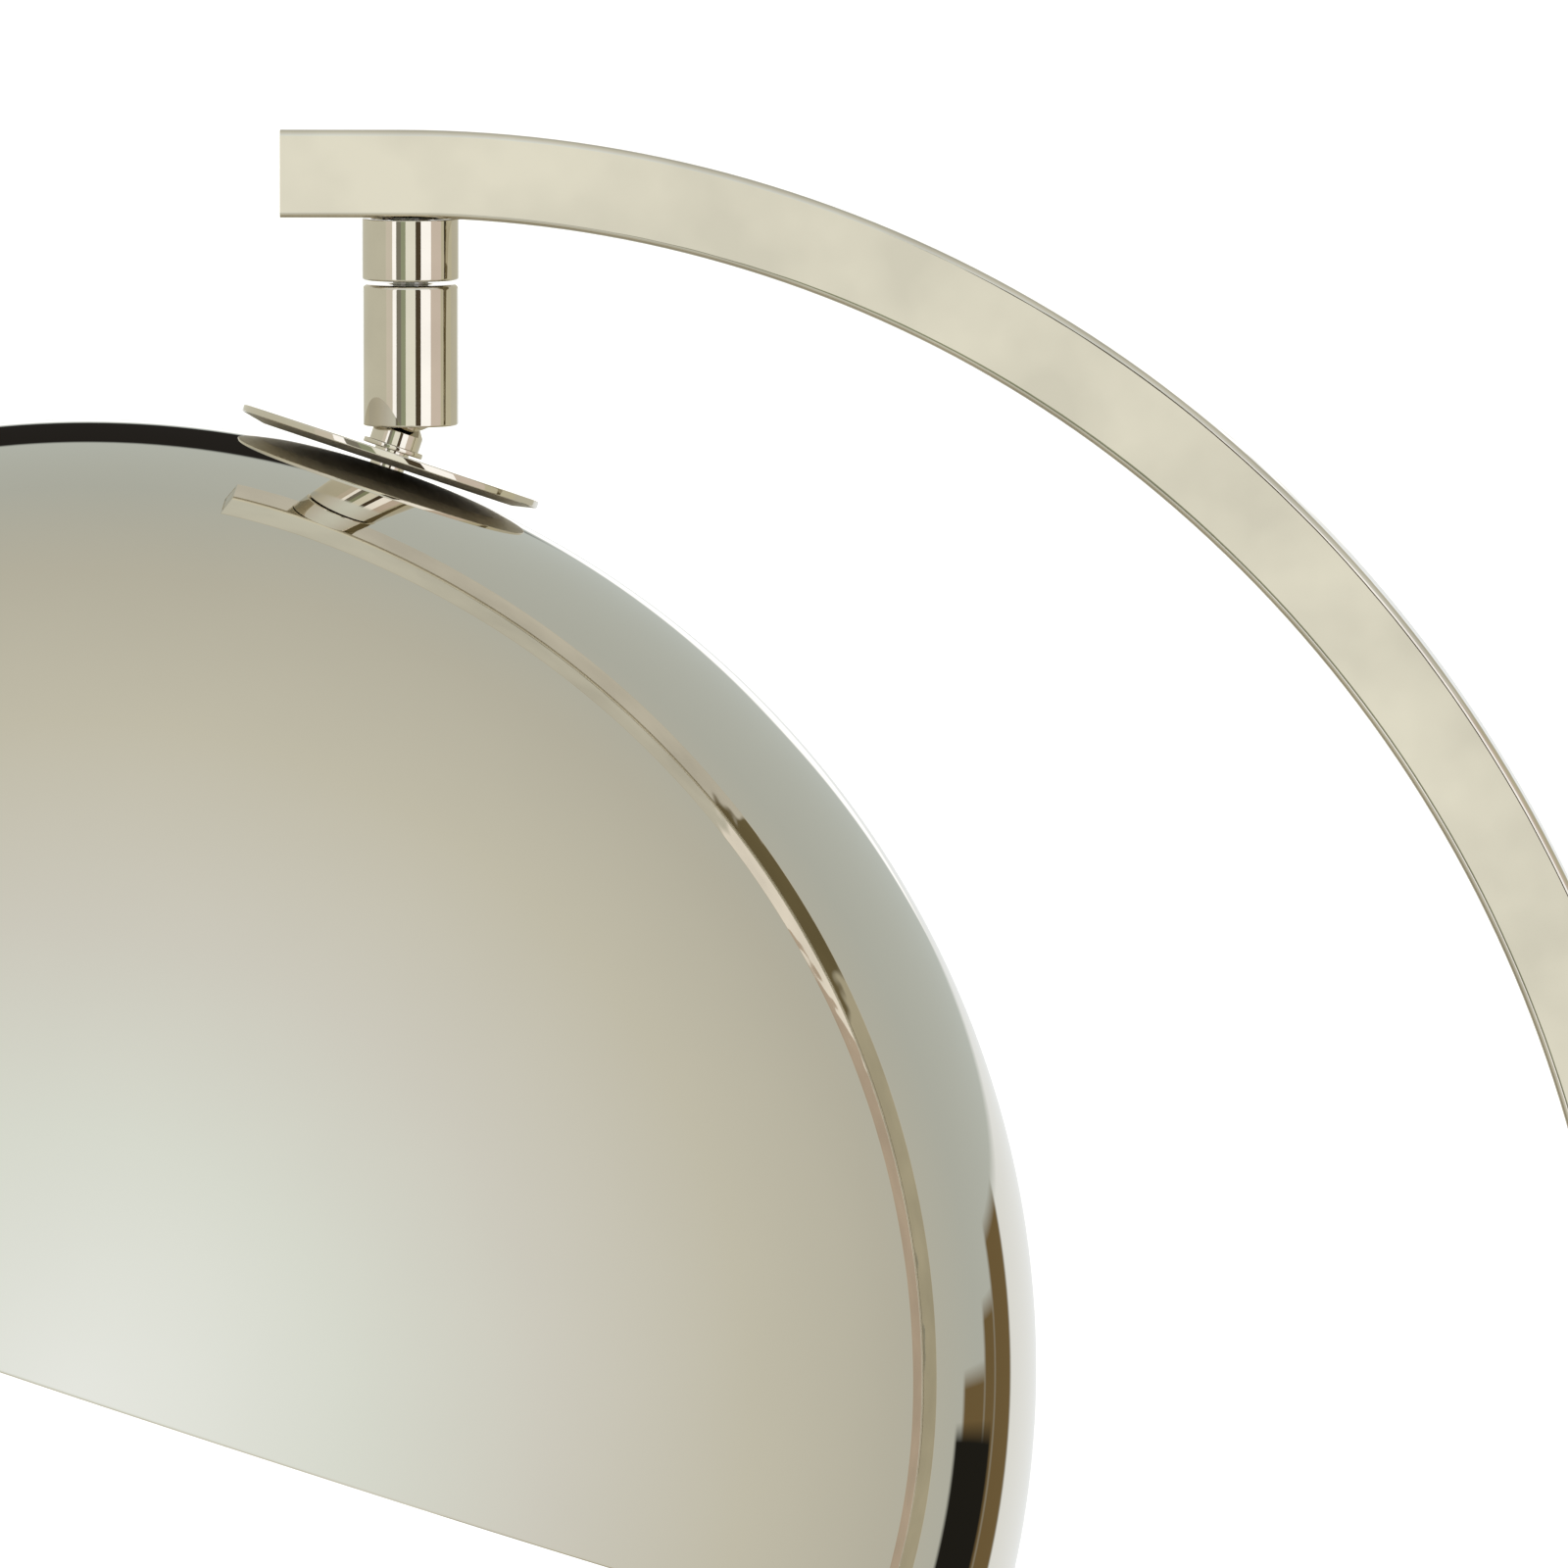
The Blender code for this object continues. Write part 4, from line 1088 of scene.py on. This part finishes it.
class RoomLight:
    """Node sockets for the direction that a ray leaves in, and masks over it."""

    def __init__(self, tree):
        self.tree = tree
        place = add(tree, "ShaderNodeTexCoord").outputs["Generated"]
        x, y, z = add(tree, "ShaderNodeSeparateXYZ", {0: place}).outputs
        toward = maths(tree, "MULTIPLY", y, -1.0)
        self.turn = maths(tree, "ARCTAN2", x, y)  # from straight behind, to the right
        self.front_turn = maths(tree, "ARCTAN2", x, toward)  # from straight in front
        self.rise = maths(tree, "ARCSINE", z)
        self.front = maths(tree, "ARCCOSINE", toward)

    def band(self, value, low, high):
        """1 where the value, in radians, is between two angles in degrees."""
        low, high = math.radians(low), math.radians(high)
        up = spread(self.tree, value, 0, 1, low - SOFT_EDGE, low + SOFT_EDGE)
        down = spread(self.tree, value, 0, 1, high + SOFT_EDGE, high - SOFT_EDGE)
        return maths(self.tree, "MULTIPLY", up, down)

    def ramp(self, value, stops, start, reach, interpolation):
        """Tones against an angle in radians. The stops' angles are in degrees from start."""
        along = spread(self.tree, value, 0, 1, math.radians(start), math.radians(start + reach))
        node = add(self.tree, "ShaderNodeValToRGB", {0: along})
        node.color_ramp.interpolation = interpolation
        elements = node.color_ramp.elements
        while len(elements) < len(stops):
            elements.new(0.5)
        for element, (degrees, tone) in zip(elements, stops):
            element.position = (degrees - start) / reach
            element.color = (*tone, 1)
        return node.outputs[0]


def light_room(scene):
    """Soft light from the front, panels round the object, and a bright backdrop behind it."""
    world = bpy.data.worlds.new("studio")
    scene.world = world
    world.use_nodes = True
    tree = world.node_tree
    tree.nodes.clear()
    room = RoomLight(tree)
    light = room.ramp(room.front, ROOM_TONES, 0, 180, "LINEAR")
    panels = room.ramp(room.front_turn, FRONT_PANELS, -180, 360, "CONSTANT")
    mirror = add(tree, "ShaderNodeLightPath").outputs["Is Singular Ray"]
    softened = maths(tree, "SUBTRACT", 1.0, mirror)
    level = maths(tree, "MULTIPLY", softened, room.band(room.rise, *FRONT_REACH))
    below = maths(tree, "MULTIPLY", softened, room.band(room.rise, -91, FRONT_REACH[0]))
    light = mixed(tree, level, light, panels)
    light = mixed(tree, below, light, (*DARK_FLOOR, 1))
    for patches, shown in ((BACK_PANELS, 1.0), (DARK_GAPS, mirror)):
        for turns, rises, tone in patches:
            mask = maths(tree, "MULTIPLY", shown, room.band(room.turn, *turns))
            mask = maths(tree, "MULTIPLY", mask, room.band(room.rise, *rises))
            light = mixed(tree, mask, light, (*tone, 1))
    sky = add(tree, "ShaderNodeBackground", {"Color": light, "Strength": 1.0})
    add(tree, "ShaderNodeOutputWorld", {"Surface": sky.outputs[0]})


class MIRROR_OT_stage(Step):
    """Makes the floor, the studio light and the camera"""

    bl_idname = "shaving_mirror.stage"
    bl_label = "Stage"

    def execute(self, context):
        scene = context.scene
        scene.view_settings.view_transform = "Standard"
        bm = bmesh.new()
        bmesh.ops.create_circle(bm, cap_ends=True, segments=ROUND, radius=FLOOR_RADIUS)
        floor = make_object("floor", bm)
        floor.data.transform(Matrix.Translation((0, 0, -0.2 * MM)))
        floor.data.materials.append(finish("studio_floor"))
        floor.visible_glossy = False
        light_room(scene)

        sun = bpy.data.lights.new("overhead_softbox", "SUN")
        sun.energy = 2.6
        sun.angle = math.radians(50)
        overhead = new_object("overhead_softbox", sun)
        overhead.rotation_euler = (math.radians(18), math.radians(-14), 0)
        overhead.visible_glossy = False

        camera = bpy.data.cameras.new("camera")
        camera.lens = camera.sensor_width * VIEW_DISTANCE / VIEW_WIDTH
        camera.clip_end = 50
        eye = new_object("camera", camera)
        back = Matrix.Rotation(VIEW_TURN, 3, "Z") @ Matrix.Rotation(-VIEW_RISE, 3, "X") @ Vector((0, -1, 0))
        eye.location = AIM + back * VIEW_DISTANCE
        eye.rotation_euler = (-back).to_track_quat("-Z", "Y").to_euler()
        scene.camera = eye
        return {"FINISHED"}


STEPS = (
    MIRROR_OT_finishes,
    MIRROR_OT_arm,
    MIRROR_OT_swivel,
    MIRROR_OT_ball_joint,
    MIRROR_OT_shell,
    MIRROR_OT_glass,
    MIRROR_OT_base,
    MIRROR_OT_post,
    MIRROR_OT_clamp,
    MIRROR_OT_stage,
)
GROUPS = {
    "mirror_arm": ArmSizes,
    "mirror_head": HeadSizes,
    "mirror_base": BaseSizes,
    "mirror_finishes": FinishColours,
}


class MIRROR_PT_panel(bpy.types.Panel):
    """Lists the sizes, the colours and what builds each piece"""

    bl_idname = "MIRROR_PT_panel"
    bl_label = "Shaving Mirror"
    bl_space_type = "VIEW_3D"
    bl_region_type = "UI"
    bl_category = "Shaving Mirror"

    def draw(self, context):
        for name, group in GROUPS.items():
            box = self.layout.box()
            for size in group.__annotations__:
                box.prop(getattr(context.scene, name), size)
        for step in STEPS:
            self.layout.operator(step.bl_idname)


def register():
    for group in GROUPS.values():
        bpy.utils.register_class(group)
    for step in (*STEPS, MIRROR_PT_panel):
        bpy.utils.register_class(step)
    for name, group in GROUPS.items():
        setattr(bpy.types.Scene, name, bpy.props.PointerProperty(type=group))


def unregister():
    for name in GROUPS:
        delattr(bpy.types.Scene, name)
    for one in (MIRROR_PT_panel, *reversed(STEPS), *reversed(GROUPS.values())):
        bpy.utils.unregister_class(one)


def main():
    register()
    for step in STEPS:
        group, name = step.bl_idname.split(".")
        getattr(getattr(bpy.ops, group), name)()


if __name__ == "__main__":
    main()
